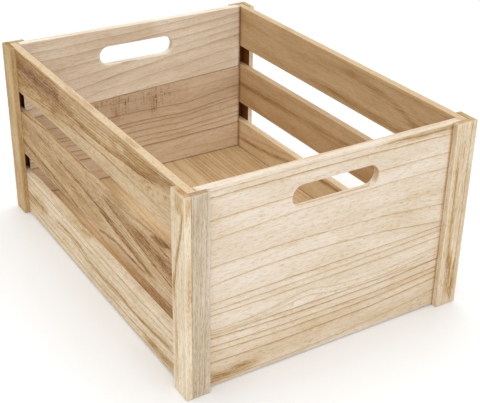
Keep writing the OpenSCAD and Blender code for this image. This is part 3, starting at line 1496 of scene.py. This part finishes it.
# One plank, so one figure for both boards: sparse lines above, dense ones below
FRONT_FIGURE = LaidFigure(
    half_length=120.0,
    lines=(
        GrowthLine(-12, -12, -8, 0.3),
        GrowthLine(1.5, 0.5, 4, 0.35),
        GrowthLine(8, 8.5, 20, 0.5),
        GrowthLine(28.5, 26.5, 33.5, 1.0),
        GrowthLine(39, 35.5, 41, 0.8),
        GrowthLine(44.5, 41.5, 46, 0.8),
        GrowthLine(53, 49.3, 55, 0.95),
        GrowthLine(57, 55, 60, 0.5),
        GrowthLine(58, 55.5, 63, 0.45, (-28, 40, 8.0)),
        GrowthLine(60, 60, 68, 0.4, (-28, 48, 9.5)),
        GrowthLine(76, 76, 79, 0.6),
        GrowthLine(80.5, 82.5, 86, 0.55),
        GrowthLine(87.5, 88.7, 90.5, 0.75),
        GrowthLine(106, 108.5, 96, 0.6),
        GrowthLine(123, 123.5, 115, 0.5),
        GrowthLine(148.5, 153, 152, 0.45),
        GrowthLine(166.5, 168, 167, 0.55),
        GrowthLine(187, 187.3, 185, 0.85),
        GrowthLine(192, 193, 191, 0.35),
        GrowthLine(206, 206, 206, 0.3),
    ),
    seed=3,
)
# Brown corner, tan shading over the dense part, and painted shadow along the edges of the corner strips
FRONT_MARKS = (
    Mark(((-122, 9), (-85, 11)), 5, 5, 0.55, fade=20),
    Mark(((20, 130), (130, 130)), 3, 3, 0.5, Tint.TAN, 40),
    Mark(((60, 191), (130, 190)), 2.5, 3, 0.5, fade=25),
    Mark(((-140, 28), (0, 26), (140, 32)), 60, 20, 0.45, Tint.TAN, 5),
    Mark(((60, 117), (140, 114)), 12, 4, 0.35, Tint.TAN, 30),
    Mark(((20, 45), (140, 48)), 20, 9, 0.3, Tint.TAN, 25),
    # Painted shadow along the edges of the right and the left corner strip
    Mark(((125.6, 100), (128, 100)), 300, 300, 0.6, Tint.GLUE, 1.6, -1),
    Mark(((-128, 100), (-126.2, 100)), 300, 300, 0.25, Tint.GLUE, 1.2, -1),
)

# Lines that climb steeply to the right
BACK_UPPER_FIGURE = LaidFigure(
    half_length=120.0,
    lines=(
        GrowthLine(92, 103, 118, 0.3),
        GrowthLine(104, 118, 131, 0.3),
        GrowthLine(113, 131, 146, 0.35),
        GrowthLine(124, 144.5, 161, 0.65),
        GrowthLine(140, 155, 170, 0.35),
        GrowthLine(158, 166, 178, 0.45),
        GrowthLine(172, 177, 188, 0.5),
        GrowthLine(183, 187, 197, 0.4),
        GrowthLine(193, 199, 208, 0.35),
        GrowthLine(205, 212, 220, 0.3),
    ),
    wander=1.2,
    seed=11,
)
# Tan ground at the left, and a dark chip under the hand hole
BACK_UPPER_MARKS = (
    Mark(((-130, 150), (-40, 176), (20, 190)), 22, 16, 0.5, Tint.TAN, 10),
    Mark(((-18, 152.5), (-2, 153)), 1.0, 0.8, 0.45, fade=5, face=-1),
)
# Dense lines with a low arch at the right
BACK_LOWER_FIGURE = LaidFigure(
    half_length=120.0,
    lines=(
        GrowthLine(8, 8, 8, 0.2),
        GrowthLine(29, 28, 29, 0.25),
        GrowthLine(49, 45.5, 48.5, 0.9),
        GrowthLine(56, 52, 57, 0.5, (60, 40, -1.2)),
        GrowthLine(61, 58, 62.5, 0.6, (60, 40, -1.5)),
        GrowthLine(69, 66, 71, 0.5, (60, 40, -2)),
        GrowthLine(76, 74, 80, 0.65, (60, 40, -2.5)),
        GrowthLine(80, 78.2, 84, 0.75, (60, 40, -2.5)),
        GrowthLine(94, 91, 97, 0.6, (60, 45, -3)),
        GrowthLine(112, 106, 110, 0.25),
        GrowthLine(128, 124, 126, 0.3),
    ),
    wander=1.0,
    seed=17,
)
# Two knots of saw marks among fainter ones, and a duller ground
BACK_LOWER_MARKS = (
    Mark(((-32, 98), (-26, 97)), 14, 12, 1.0, Tint.SAWN, 4, -1),
    Mark(((14, 104), (23, 103)), 15, 11, 1.0, Tint.SAWN, 4, -1),
    Mark(((-20, 101), (-14, 101)), 9, 7, 0.7, Tint.SAWN, 3, -1),
    Mark(((-70, 104), (50, 106)), 14, 10, 0.5, Tint.SAWN, 30, -1),
    Mark(((-140, 88), (140, 92)), 26, 30, 0.5, Tint.TAN, 10),
)

# Lines crowded under the top edge
LEFT_TOP_FIGURE = LaidFigure(
    half_length=170.0,
    lines=(
        GrowthLine(140, 138, 140, 0.2),
        GrowthLine(150, 149, 146, 0.35),
        GrowthLine(153, 153.5, 149, 0.3),
        GrowthLine(160, 162.5, 152, 0.95),
        GrowthLine(168, 167, 168, 0.25),
        GrowthLine(184, 170, 174, 0.9),
        GrowthLine(186, 173.5, 177.5, 0.7),
        GrowthLine(187.5, 176, 180, 0.5),
        GrowthLine(189, 179.5, 182.5, 0.75),
        GrowthLine(191, 182.5, 185, 0.6),
        GrowthLine(193, 186, 188, 0.75),
        GrowthLine(195.5, 189, 191, 0.5),
        GrowthLine(198, 193, 194.5, 0.6),
        GrowthLine(205, 202, 203, 0.4),
    ),
    wander=1.2,
    seed=23,
)
# A long stain that runs through, olive ground at the back, pale spots and top edge
LEFT_TOP_MARKS = (
    Mark(((-150, 182), (-100, 174.5), (-40, 171), (-10, 170.5), (20, 172), (62, 176)), 0.9, 3.0, 0.7),
    Mark(((66, 176), (172, 175)), 1.2, 16, 0.85, fade=8),
    Mark(((70, 165), (190, 163)), 14, 12, 0.35, fade=30),
    Mark(((-170, 184), (-70, 180)), 8, 12, 0.35, fade=25),
    Mark(((-170, 160), (-60, 158)), 12, 6, 0.5, Tint.PALE, 20),
    Mark(((-150, 160.5), (-60, 162), (-20, 162.5), (10, 161), (30, 157)), 0.7, 0.7, 0.45),
    Mark(((-170, 190), (60, 184)), 12, 20, 0.3, Tint.TAN, 30),
    Mark(((40, 172), (190, 172)), 18, 30, 0.8, Tint.TAN, 60),
    Mark(((-80, 183), (-68, 183)), 3, 4, 0.7, Tint.PALE, 4),
    Mark(((-200, 195), (200, 195)), 0.6, 3, 1.0, Tint.PALE, 5),
    Mark(((-170, 181), (-140, 176)), 6, 7, 0.5, Tint.PALE, 12),
    Mark(((-164, 189), (-148, 188), (-140, 190)), 0.8, 0.8, 0.9, fade=5),
)
# Lines that climb to the back
LEFT_MIDDLE_FIGURE = LaidFigure(
    half_length=170.0,
    lines=(
        GrowthLine(66, 64, 68, 0.4),
        GrowthLine(78, 73, 88, 0.6),
        GrowthLine(83, 82, 92, 0.3),
        GrowthLine(86.5, 92, 98, 0.3),
        GrowthLine(89, 100, 104, 0.4),
        GrowthLine(92, 104.5, 107.5, 0.75),
        GrowthLine(96, 107.5, 109.5, 0.7),
        GrowthLine(99, 110, 111.5, 0.45),
        GrowthLine(102, 112, 113, 0.7),
        GrowthLine(105, 114, 115, 0.5),
        GrowthLine(108.5, 116, 117, 0.75),
        GrowthLine(112, 118, 119, 0.6),
        GrowthLine(117, 120.5, 121.5, 0.75),
        GrowthLine(122, 123.5, 125, 0.45),
        GrowthLine(131, 131, 132, 0.4),
    ),
    wander=1.2,
    seed=29,
)
# Flames of brown and tan with pale ridges between them, and two dark chips
LEFT_MIDDLE_MARKS = (
    Mark(
        ((-90, 88.5), (-60, 92), (-40, 96), (-20, 100.5), (0, 103), (30, 106), (72, 109)),
        1.1, 1.0, 1.0, fade=8,
    ),
    Mark(((-125, 83), (-100, 87), (-60, 93), (-30, 98.5)), 2.0, 4.2, 0.9, fade=16),
    Mark(((-163, 93), (-130, 99), (-100, 104), (-80, 108), (-60, 112), (-35, 115)), 0.8, 1.2, 0.7),
    Mark(((18, 73), (35, 75.5), (50, 79), (80, 81.5), (110, 84), (140, 86), (175, 88)), 1.2, 1.8, 1.0),
    Mark(((30, 70), (80, 76), (175, 80)), 6, 6, 0.9, Tint.TAN, 20),
    Mark(((-20, 86), (60, 94), (175, 104)), 9, 9, 0.3, fade=40),
    Mark(((-110, 80), (-60, 80.5), (-30, 78), (-14, 73)), 1.2, 1.4, 0.8),
    Mark(((-110, 75), (-30, 73)), 6, 6, 0.5, Tint.TAN, 15),
    Mark(((-170, 108), (-100, 113), (-40, 118)), 11, 7, 0.8, Tint.TAN, 20),
    Mark(((-165, 108), (-100, 113)), 6, 5, 0.5, fade=20),
    Mark(((-163, 90), (-110, 98), (-70, 106), (-30, 112)), 1.4, 1.4, 0.6, Tint.PALE, 10),
    Mark(((-100, 94), (-40, 104), (-10, 108)), 1.0, 1.2, 0.5, Tint.PALE, 10),
    Mark(((-165, 117.5), (-150, 121.5), (-128, 123)), 0.7, 0.8, 1.3, fade=5),
    Mark(((-140, 126), (-120, 127)), 0.7, 0.7, 0.8, fade=5),
    Mark(((100, 113), (130, 114.5)), 1.2, 1.2, 0.5, fade=10),
)
# Lines along the slat with one arch
LEFT_BOTTOM_FIGURE = LaidFigure(
    half_length=170.0,
    lines=(
        GrowthLine(-6, -7, -6, 0.3),
        GrowthLine(6, 4, 6, 0.4),
        GrowthLine(16, 11.5, 12.5, 0.7),
        GrowthLine(20, 17, 20, 0.35),
        GrowthLine(27, 23.5, 29, 0.7, (55, 30, 4)),
        GrowthLine(34, 31, 36, 0.3, (55, 40, 2)),
        GrowthLine(40, 39, 42, 0.4),
        GrowthLine(47, 46.5, 48.5, 0.55),
        GrowthLine(54, 54, 55, 0.4),
    ),
    wander=1.1,
    seed=31,
)
# Thin golden streaks, and dull ends
LEFT_BOTTOM_MARKS = (
    Mark(((15, 49.5), (92, 48.5)), 1.0, 1.2, 0.4, fade=15),
    Mark(
        ((-160, 27), (-100, 23), (-50, 24), (-20, 22.5), (10, 24), (40, 30), (60, 31), (92, 29)),
        1.0, 1.8, 0.55,
    ),
    Mark(((130, 27), (168, 22)), 6, 7, 0.45, fade=20),
    Mark(((-165, 10), (-115, 9)), 4, 4, 0.5, fade=15),
)

# Faint streaks, and pale top edges
RIGHT_TOP_MARKS = (
    Mark(((-150, 163), (-130, 166), (-100, 177), (-60, 182), (-20, 184)), 3.5, 3.5, 0.2, fade=20),
    Mark(((-130, 152), (20, 154)), 4, 3, 0.2, fade=30),
    Mark(((-200, 195), (200, 195)), 0.6, 3, 1.0, Tint.PALE, 5),
    Mark(((-190, 186), (190, 178)), 12, 12, 0.35, Tint.TAN, 10),
)
RIGHT_MIDDLE_MARKS = (
    Mark(((-120, 105), (0, 102), (100, 100.5), (180, 99)), 2.2, 2.6, 0.25, fade=30),
    Mark(((-200, 129), (200, 129)), 0.6, 2, 0.8, Tint.PALE, 5),
    Mark(((-190, 82), (190, 82)), 10, 14, 0.3, Tint.TAN, 10),
)
RIGHT_BOTTOM_MARKS = (
    Mark(((-100, 46), (60, 42), (80, 37), (120, 31), (180, 26)), 2, 2, 0.35, fade=20),
)

# Painted shade on the floor along the left slats, most of it towards the front, where the front panel and
# the left wall shade it
FLOOR_SHADE_MARKS = (
    Mark(((-190, -141), (-50, -141)), 40, 52, 0.4, fade=80),
    Mark(((-190, -100), (40, -100)), 40, 90, 0.12, fade=60),
    Mark(((-190, -141), (190, -141)), 30, 30, 0.5, Tint.TAN, 30),
)

# Streaks up the strip and a stain at its top
FRONT_LEFT_SIDE_MARKS = (
    Mark(((96, -180), (110, -181), (135, -186), (160, -193), (178, -196)), 1.8, 1.8, 0.6, fade=8),
    Mark(((20, -184), (92, -183)), 1.5, 2, 0.3, fade=20),
    Mark(((178, -190), (197, -188)), 7, 6, 0.35, fade=5),
)
# Golden foot and streaks
FRONT_RIGHT_END_MARKS = (
    Mark(((15, 138), (58, 136)), 3.5, 3.5, 0.5, fade=10),
    Mark(((60, 133), (150, 132)), 1.2, 1.6, 0.45, fade=15),
    Mark(((10, 143), (45, 144)), 2, 2, 0.5, fade=8),
    Mark(((150, 146), (195, 146)), 2, 2, 0.35, fade=8),
)
# Painted shade in the inner corners beside the back panel
RIGHT_CORNER_SHADE = Mark(((184.6, 100), (190, 100)), 200, 200, 0.5, Tint.GLUE, 1.4, -1)
BACK_CORNER_SHADE = Mark(((134.8, 100), (140, 100)), 300, 300, 0.35, Tint.GLUE, 1.4, -1)


class End(Enum):
    """End of the crate, by the sign of its Y."""

    FRONT = -1
    BACK = 1


class Side(Enum):
    """Side of the crate, by the sign of its X."""

    LEFT = -1
    RIGHT = 1


@dataclass(frozen=True)
class FloorSeat:
    """Grooves that hold the floor's edges.

    Attributes:
        play: Room above the floor in the groove, metres.
        end_gap: Room between the floor's edge and the groove's bottom, metres.
    """

    play: float = 0.3 * MM
    end_gap: float = 0.5 * MM

    def groove(self) -> tuple[float, float]:
        """Gives the groove's lower and upper height, from the floor boards."""
        low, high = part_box("floor_board_1")
        return low.z, high.z + self.play

    def reach(self, axis: Axis) -> float:
        """Gives the distance from the crate's middle to the groove's bottom along an axis."""
        return abs(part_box("floor_board_1")[0][axis.value]) + self.end_gap


@dataclass
class EndPanel:
    """End of the crate: an upper board with the hand hole, glued to a lower board with the floor's groove.

    Attributes:
        end: Which end.
        timbers: Finishes of the lower and the upper board.
        figures: Growth lines of the lower and the upper board.
        marks: Marks of the lower and the upper board.
        seat: The floor's groove.
    """

    end: End
    timbers: tuple[Timber, Timber]
    figures: tuple[LaidFigure, LaidFigure]
    marks: tuple[tuple[Mark, ...], tuple[Mark, ...]]
    seat: FloorSeat = FloorSeat()

    def build(self) -> None:
        """Builds both boards, with their glue line as the frame has it."""
        name = f"{self.end.name.lower()}_panel"
        lower, upper = (
            # Fibres and finish are random for each board, and wear is the same across the glue line
            {
                "node": f"{name}_{place}_board",
                "slot": "panel_wood",
                "grain": Axis.X,
                "width": Axis.Z,
                "figure": self.figures[k],
                "timber": self.timbers[k],
                "marks": self.marks[k],
                "laid_from_origin": True,
                "seed": 10 * (self.end.value + 2) + k,
                "wear_seed": self.end.value + 2,
                # The panel's ends take painted shade where they show in the corner pockets
                "glued": ((Axis.X, -1), (Axis.X, 1)),
            }
            for k, place in enumerate(("bottom", "top"))
        )
        ends = ((Axis.X, -1), (Axis.X, 1))
        top = HandHoleBoard(**upper, butts=(*ends, (Axis.Z, -1)))
        bottom = GroovedBoard(
            **lower,
            butts=(*ends, (Axis.Z, 1)),
            groove=self.seat.groove(),
            groove_plane=self.end.value * self.seat.reach(Axis.Y),
        )
        self._lean(top, bottom)
        top.build()
        bottom.build()

    @staticmethod
    def _lean(top: HandHoleBoard, bottom: GroovedBoard) -> None:
        """Gives both boards the glue line's rise, which is how far their boxes overlap in height.

        Args:
            top: The upper board.
            bottom: The lower board.
        """
        rise = bottom.high[2] - top.low[2]
        joint = (bottom.high[2] + top.low[2]) / 2
        still_top = top.hole_centre - top.hole_height
        still_bottom = bottom.groove[1] + STILL_WOOD
        for board, still in ((top, still_top), (bottom, still_bottom)):
            board.joint = LeaningJoint(rise, top.high[0], still, joint)
        top.low[2] = joint
        bottom.high[2] = joint


@dataclass
class SideWall:
    """Long side of the crate: three slats, the lowest with the floor's groove.

    Attributes:
        side: Which side.
        timbers: Finishes of the slats, from the bottom.
        figures: Growth rings of the slats, from the bottom.
        marks: Marks of the slats, from the bottom.
        seat: The floor's groove.
    """

    side: Side
    timbers: tuple[Timber, ...]
    figures: tuple[LaidFigure | HeartFigure, ...]
    marks: tuple[tuple[Mark, ...], ...]
    seat: FloorSeat = FloorSeat()

    def build(self) -> None:
        """Builds the slats."""
        for k, level in enumerate(("bottom", "middle", "top")):
            common = {
                "node": f"{self.side.name.lower()}_{level}_slat",
                "slot": "slat_wood",
                "grain": Axis.Y,
                "width": Axis.Z,
                "figure": self.figures[k],
                "timber": self.timbers[k],
                "marks": self.marks[k],
                "laid_from_origin": True,
                "seed": 40 + 5 * self.side.value + k,
                "wear_seed": 10 + self.side.value + 3 * k,
            }
            if level == "bottom":
                plane = self.side.value * self.seat.reach(Axis.X)
                GroovedBoard(**common, groove=self.seat.groove(), groove_plane=plane).build()
            else:
                Board(**common).build()


@dataclass
class Corner:
    """Corner of the crate: two upright strips, glued in an L over the ends of the slats and the panel.

    Attributes:
        end: Which end of the crate.
        side: Which side.
        timbers: Finishes of the strip on the long side and of the strip on the end.
        side_marks: Marks of the strip on the long side.
        end_marks: Marks of the strip on the end.
    """

    end: End
    side: Side
    timbers: tuple[Timber, Timber]
    side_marks: tuple[Mark, ...] = ()
    end_marks: tuple[Mark, ...] = ()

    def build(self) -> None:
        """Builds the two strips, each with rings of its own."""
        inward = (Axis.X, -self.side.value)
        endward = (Axis.Y, -self.end.value)
        self._strip("side", Axis.Y, self.side_marks, (inward,), inward, 0)
        self._strip("end", Axis.X, self.end_marks, ((Axis.X, self.side.value), endward), endward, 1)

    def _strip(
        self,
        strip: str,
        width: Axis,
        marks: tuple[Mark, ...],
        butts: tuple[Face, ...],
        glued: Face,
        number: int,
    ) -> None:
        """Builds one strip.

        Args:
            strip: Which of the two, as its node names it.
            width: Axis across its face.
            marks: Its marks.
            butts: Faces that meet another board.
            glued: The face that is glued to the crate, darkened with painted shade where it shows in a
                corner pocket.
            number: 0 or 1, for the random numbers.
        """
        seed = 60 + 8 * self.end.value + 4 * self.side.value + number
        heart = HeartFigure(
            heart=(38.0 - 76.0 * number, 16.0),
            drift=(0.02, 0.004),
            ring=3.4,
            spread=0.6,
            strength=(0.1, 0.4),
            wander=0.8,
            seed=seed,
        )
        Board(
            node=f"{self.end.name.lower()}_{self.side.name.lower()}_{strip}_strip",
            slot="strip_wood",
            grain=Axis.Z,
            width=width,
            figure=heart,
            timber=self.timbers[number],
            marks=marks,
            seed=seed,
            wear_seed=seed,
            butts=butts,
            glued=(glued,),
            step=(2.4 * MM, 1.1 * MM),
            laid_from_origin=True,
        ).build()


@dataclass
class Floor:
    """Bottom of the crate: thin boards side by side, held in the grooves.

    Attributes:
        timber: Finish of the boards.
        count: Number of boards.
    """

    timber: Timber
    count: int = 4

    def build(self) -> None:
        """Builds the boards from left to right, each cut from another part of the tree."""
        for k in range(self.count):
            seed = 80 + k
            heart = HeartFigure(
                heart=(60.0 - 30.0 * k, 70.0),
                drift=(0.03, 0.01),
                ring=6.0,
                spread=0.6,
                strength=(0.2, 0.7),
                wander=1.2,
                seed=seed,
            )
            Board(
                node=f"floor_board_{k + 1}",
                slot="floor_wood",
                grain=Axis.Y,
                width=Axis.X,
                figure=heart,
                timber=self.timber,
                seed=seed,
                # Painted shade towards the front-left corner
                marks=FLOOR_SHADE_MARKS,
                butts=((Axis.X, -1), (Axis.X, 1)),
                laid_from_origin=True,
            ).build()


@dataclass
class Nails:
    """Brads through the slats and pins through the corners, which keep their CAD shape.

    Attributes:
        frame: The loaded frame.
        steel: Their finish.
    """

    frame: dict[str, object]
    steel: Steel = Steel()

    def build(self) -> None:
        """Gives every nail node the steel finish."""
        material = self.steel.material("nail_steel")
        for name, node in self.frame["nodes"].items():
            if name.endswith(("_brads", "_pins")):
                node.data.materials.clear()
                node.data.materials.append(material)
                LOG.info("%s: steel", name)


# ---------------------------------------------------------------- studio

# Height that the lights are aimed at
AIM_HEIGHT = 0.1
# Lines of the studio floor's grid each way
FLOOR_LINES = 13
FLOOR_ROUGHNESS = 0.9
# Width of the camera's sensor, mm
SENSOR_WIDTH = 36.0


@dataclass
class Softbox:
    """Square area light that looks at the crate.

    Attributes:
        name: Name of the light.
        place: Where it hangs, metres.
        width: Length of its edges, metres.
        power: Power, watts.
        colour: Colour of its light.
    """

    name: str
    place: tuple[float, float, float]
    width: float
    power: float
    colour: Colour = (1.0, 1.0, 1.0)

    def build(self) -> None:
        """Hangs the light and turns it to the middle of the crate."""
        lamp = bpy.data.lights.new(self.name, "AREA")
        lamp.shape, lamp.size, lamp.energy, lamp.color = "SQUARE", self.width, self.power, self.colour
        holder = bpy.data.objects.new(self.name, lamp)
        holder.location = self.place
        aim = Vector((0.0, 0.0, AIM_HEIGHT)) - holder.location
        holder.rotation_euler = aim.to_track_quat("-Z", "Y").to_euler()
        bpy.context.scene.collection.objects.link(holder)


@dataclass
class Studio:
    """Pale floor, soft light from all round, and the camera.

    Attributes:
        eye: Where the camera stands, metres.
        heading: Compass angle of its view from +Y towards +X, degrees.
        dip: How far it looks down, degrees.
        roll: How far its right side is lifted, degrees.
        lens: Focal length on a 36 mm wide sensor, mm.
        shift: Lens shift across and up, as shares of the picture's width.
        floor_width: Length of the floor's edges, metres.
        floor_tone: Colour of the floor.
        sky: Strength of the even light from all round.
        softboxes: The lights.
    """

    eye: tuple[float, float, float] = (-0.4679, -0.7909, 0.5575)
    heading: float = 32.33
    dip: float = 27.65
    roll: float = 1.13
    lens: float = 75.6
    shift: tuple[float, float] = (-0.0148, -0.0315)
    floor_width: float = 12.0
    floor_tone: Colour = (0.955, 0.97, 0.985)
    sky: float = 0.84
    softboxes: tuple[Softbox, ...] = field(
        default_factory=lambda: (
            Softbox("key_light", (-0.65, -1.45, 1.35), 1.2, 7.0),
            Softbox("top_light", (0.2, 0.4, 1.9), 1.6, 12.0),
        )
    )

    def build(self) -> None:
        """Sets up the floor, the sky, the lights, the camera and how light is shown."""
        self._floor()
        self._sky()
        for softbox in self.softboxes:
            softbox.build()
        self._camera()
        bpy.context.scene.view_settings.view_transform = "Standard"
        bpy.context.scene.cycles.denoising_prefilter = "NONE"

    def _floor(self) -> None:
        """Lays the floor: a square of even faces at height 0."""
        line = np.linspace(-self.floor_width / 2, self.floor_width / 2, FLOOR_LINES)
        grid = np.stack(np.meshgrid(line, line, [0.0], indexing="ij"), axis=-1).reshape(-1, 3)
        number = np.arange(line.size**2).reshape(line.size, line.size)
        faces = np.stack([number[:-1, :-1], number[1:, :-1], number[1:, 1:], number[:-1, 1:]], axis=2)
        mesh = bpy.data.meshes.new("studio_floor")
        mesh.from_pydata(grid.tolist(), [], faces.reshape(-1, 4).tolist())
        material, _, shader = new_material("studio_floor")
        shader.inputs["Base Color"].default_value = (*self.floor_tone, 1.0)
        shader.inputs["Roughness"].default_value = FLOOR_ROUGHNESS
        mesh.materials.append(material)
        floor = bpy.data.objects.new("studio_floor", mesh)
        bpy.context.scene.collection.objects.link(floor)

    def _sky(self) -> None:
        """Fills the surroundings with even white light."""
        world = bpy.data.worlds.new("studio_sky")
        world.use_nodes = True
        background = world.node_tree.nodes["Background"]
        background.inputs["Color"].default_value = (1.0, 1.0, 1.0, 1.0)
        background.inputs["Strength"].default_value = self.sky
        bpy.context.scene.world = world

    def _camera(self) -> None:
        """Stands the camera: turned to its heading, then dipped, then rolled about its own view."""
        lens = bpy.data.cameras.new("camera")
        lens.sensor_fit, lens.sensor_width, lens.lens = "HORIZONTAL", SENSOR_WIDTH, self.lens
        lens.shift_x, lens.shift_y = self.shift
        camera = bpy.data.objects.new("camera", lens)
        turns = (
            Matrix.Rotation(np.radians(-self.heading), 4, "Z")
            @ Matrix.Rotation(np.radians(90.0 - self.dip), 4, "X")
            @ Matrix.Rotation(np.radians(self.roll), 4, "Z")
        )
        camera.matrix_world = Matrix.Translation(self.eye) @ turns
        bpy.context.scene.collection.objects.link(camera)
        bpy.context.scene.camera = camera


def crate_parts(frame: dict[str, object]) -> list[EndPanel | SideWall | Corner | Floor | Nails]:
    """Lists the crate's sub-assemblies in the order that they are put together.

    Args:
        frame: The loaded frame.

    Returns:
        The sub-assemblies.
    """
    right = tuple(
        HeartFigure(
            heart=(20.0 * k, 120.0 - 30.0 * k),
            drift=(0.03, 0.02),
            ring=7.0,
            spread=0.6,
            strength=(0.1, 0.35),
            wander=1.8,
            seed=50 + k,
        )
        for k in range(3)
    )
    right_marks = tuple(
        (*marks, RIGHT_CORNER_SHADE) for marks in (RIGHT_BOTTOM_MARKS, RIGHT_MIDDLE_MARKS, RIGHT_TOP_MARKS)
    )
    return [
        EndPanel(
            End.BACK,
            (PINK_TIMBER, WARM_TIMBER),
            (BACK_LOWER_FIGURE, BACK_UPPER_FIGURE),
            ((*BACK_LOWER_MARKS, BACK_CORNER_SHADE), (*BACK_UPPER_MARKS, BACK_CORNER_SHADE)),
        ),
        EndPanel(
            End.FRONT,
            (PANEL_TIMBER, PANEL_TIMBER),
            (FRONT_FIGURE, FRONT_FIGURE),
            (FRONT_MARKS, FRONT_MARKS),
        ),
        SideWall(Side.RIGHT, (HONEY_TIMBER, GOLD_TIMBER, GOLD_TIMBER), right, right_marks),
        SideWall(
            Side.LEFT,
            (SILVER_TIMBER, RUSSET_TIMBER, FLAMED_TIMBER),
            (LEFT_BOTTOM_FIGURE, LEFT_MIDDLE_FIGURE, LEFT_TOP_FIGURE),
            (LEFT_BOTTOM_MARKS, LEFT_MIDDLE_MARKS, LEFT_TOP_MARKS),
        ),
        Corner(End.FRONT, Side.LEFT, (BONE_TIMBER, ASHEN_TIMBER), side_marks=FRONT_LEFT_SIDE_MARKS),
        Corner(End.FRONT, Side.RIGHT, (STRIP_TIMBER, STRIP_TIMBER), end_marks=FRONT_RIGHT_END_MARKS),
        Corner(End.BACK, Side.LEFT, (AMBER_TIMBER, STRIP_TIMBER)),
        Corner(End.BACK, Side.RIGHT, (STRIP_TIMBER, BONE_TIMBER)),
        Floor(FLOOR_TIMBER),
        Nails(frame),
    ]


def corners(bounds: tuple[Vector, Vector]) -> list[list[float]]:
    """Writes a box's two corners as plain lists."""
    return [list(corner) for corner in bounds]


def main() -> None:
    """Loads the frame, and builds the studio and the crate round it."""
    logging.basicConfig(level=logging.INFO, format="%(name)s: %(message)s")
    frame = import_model()
    Studio().build()
    for part in crate_parts(frame):
        LOG.info("building %s", type(part).__name__)
        part.build()


if __name__ == "__main__":
    main()
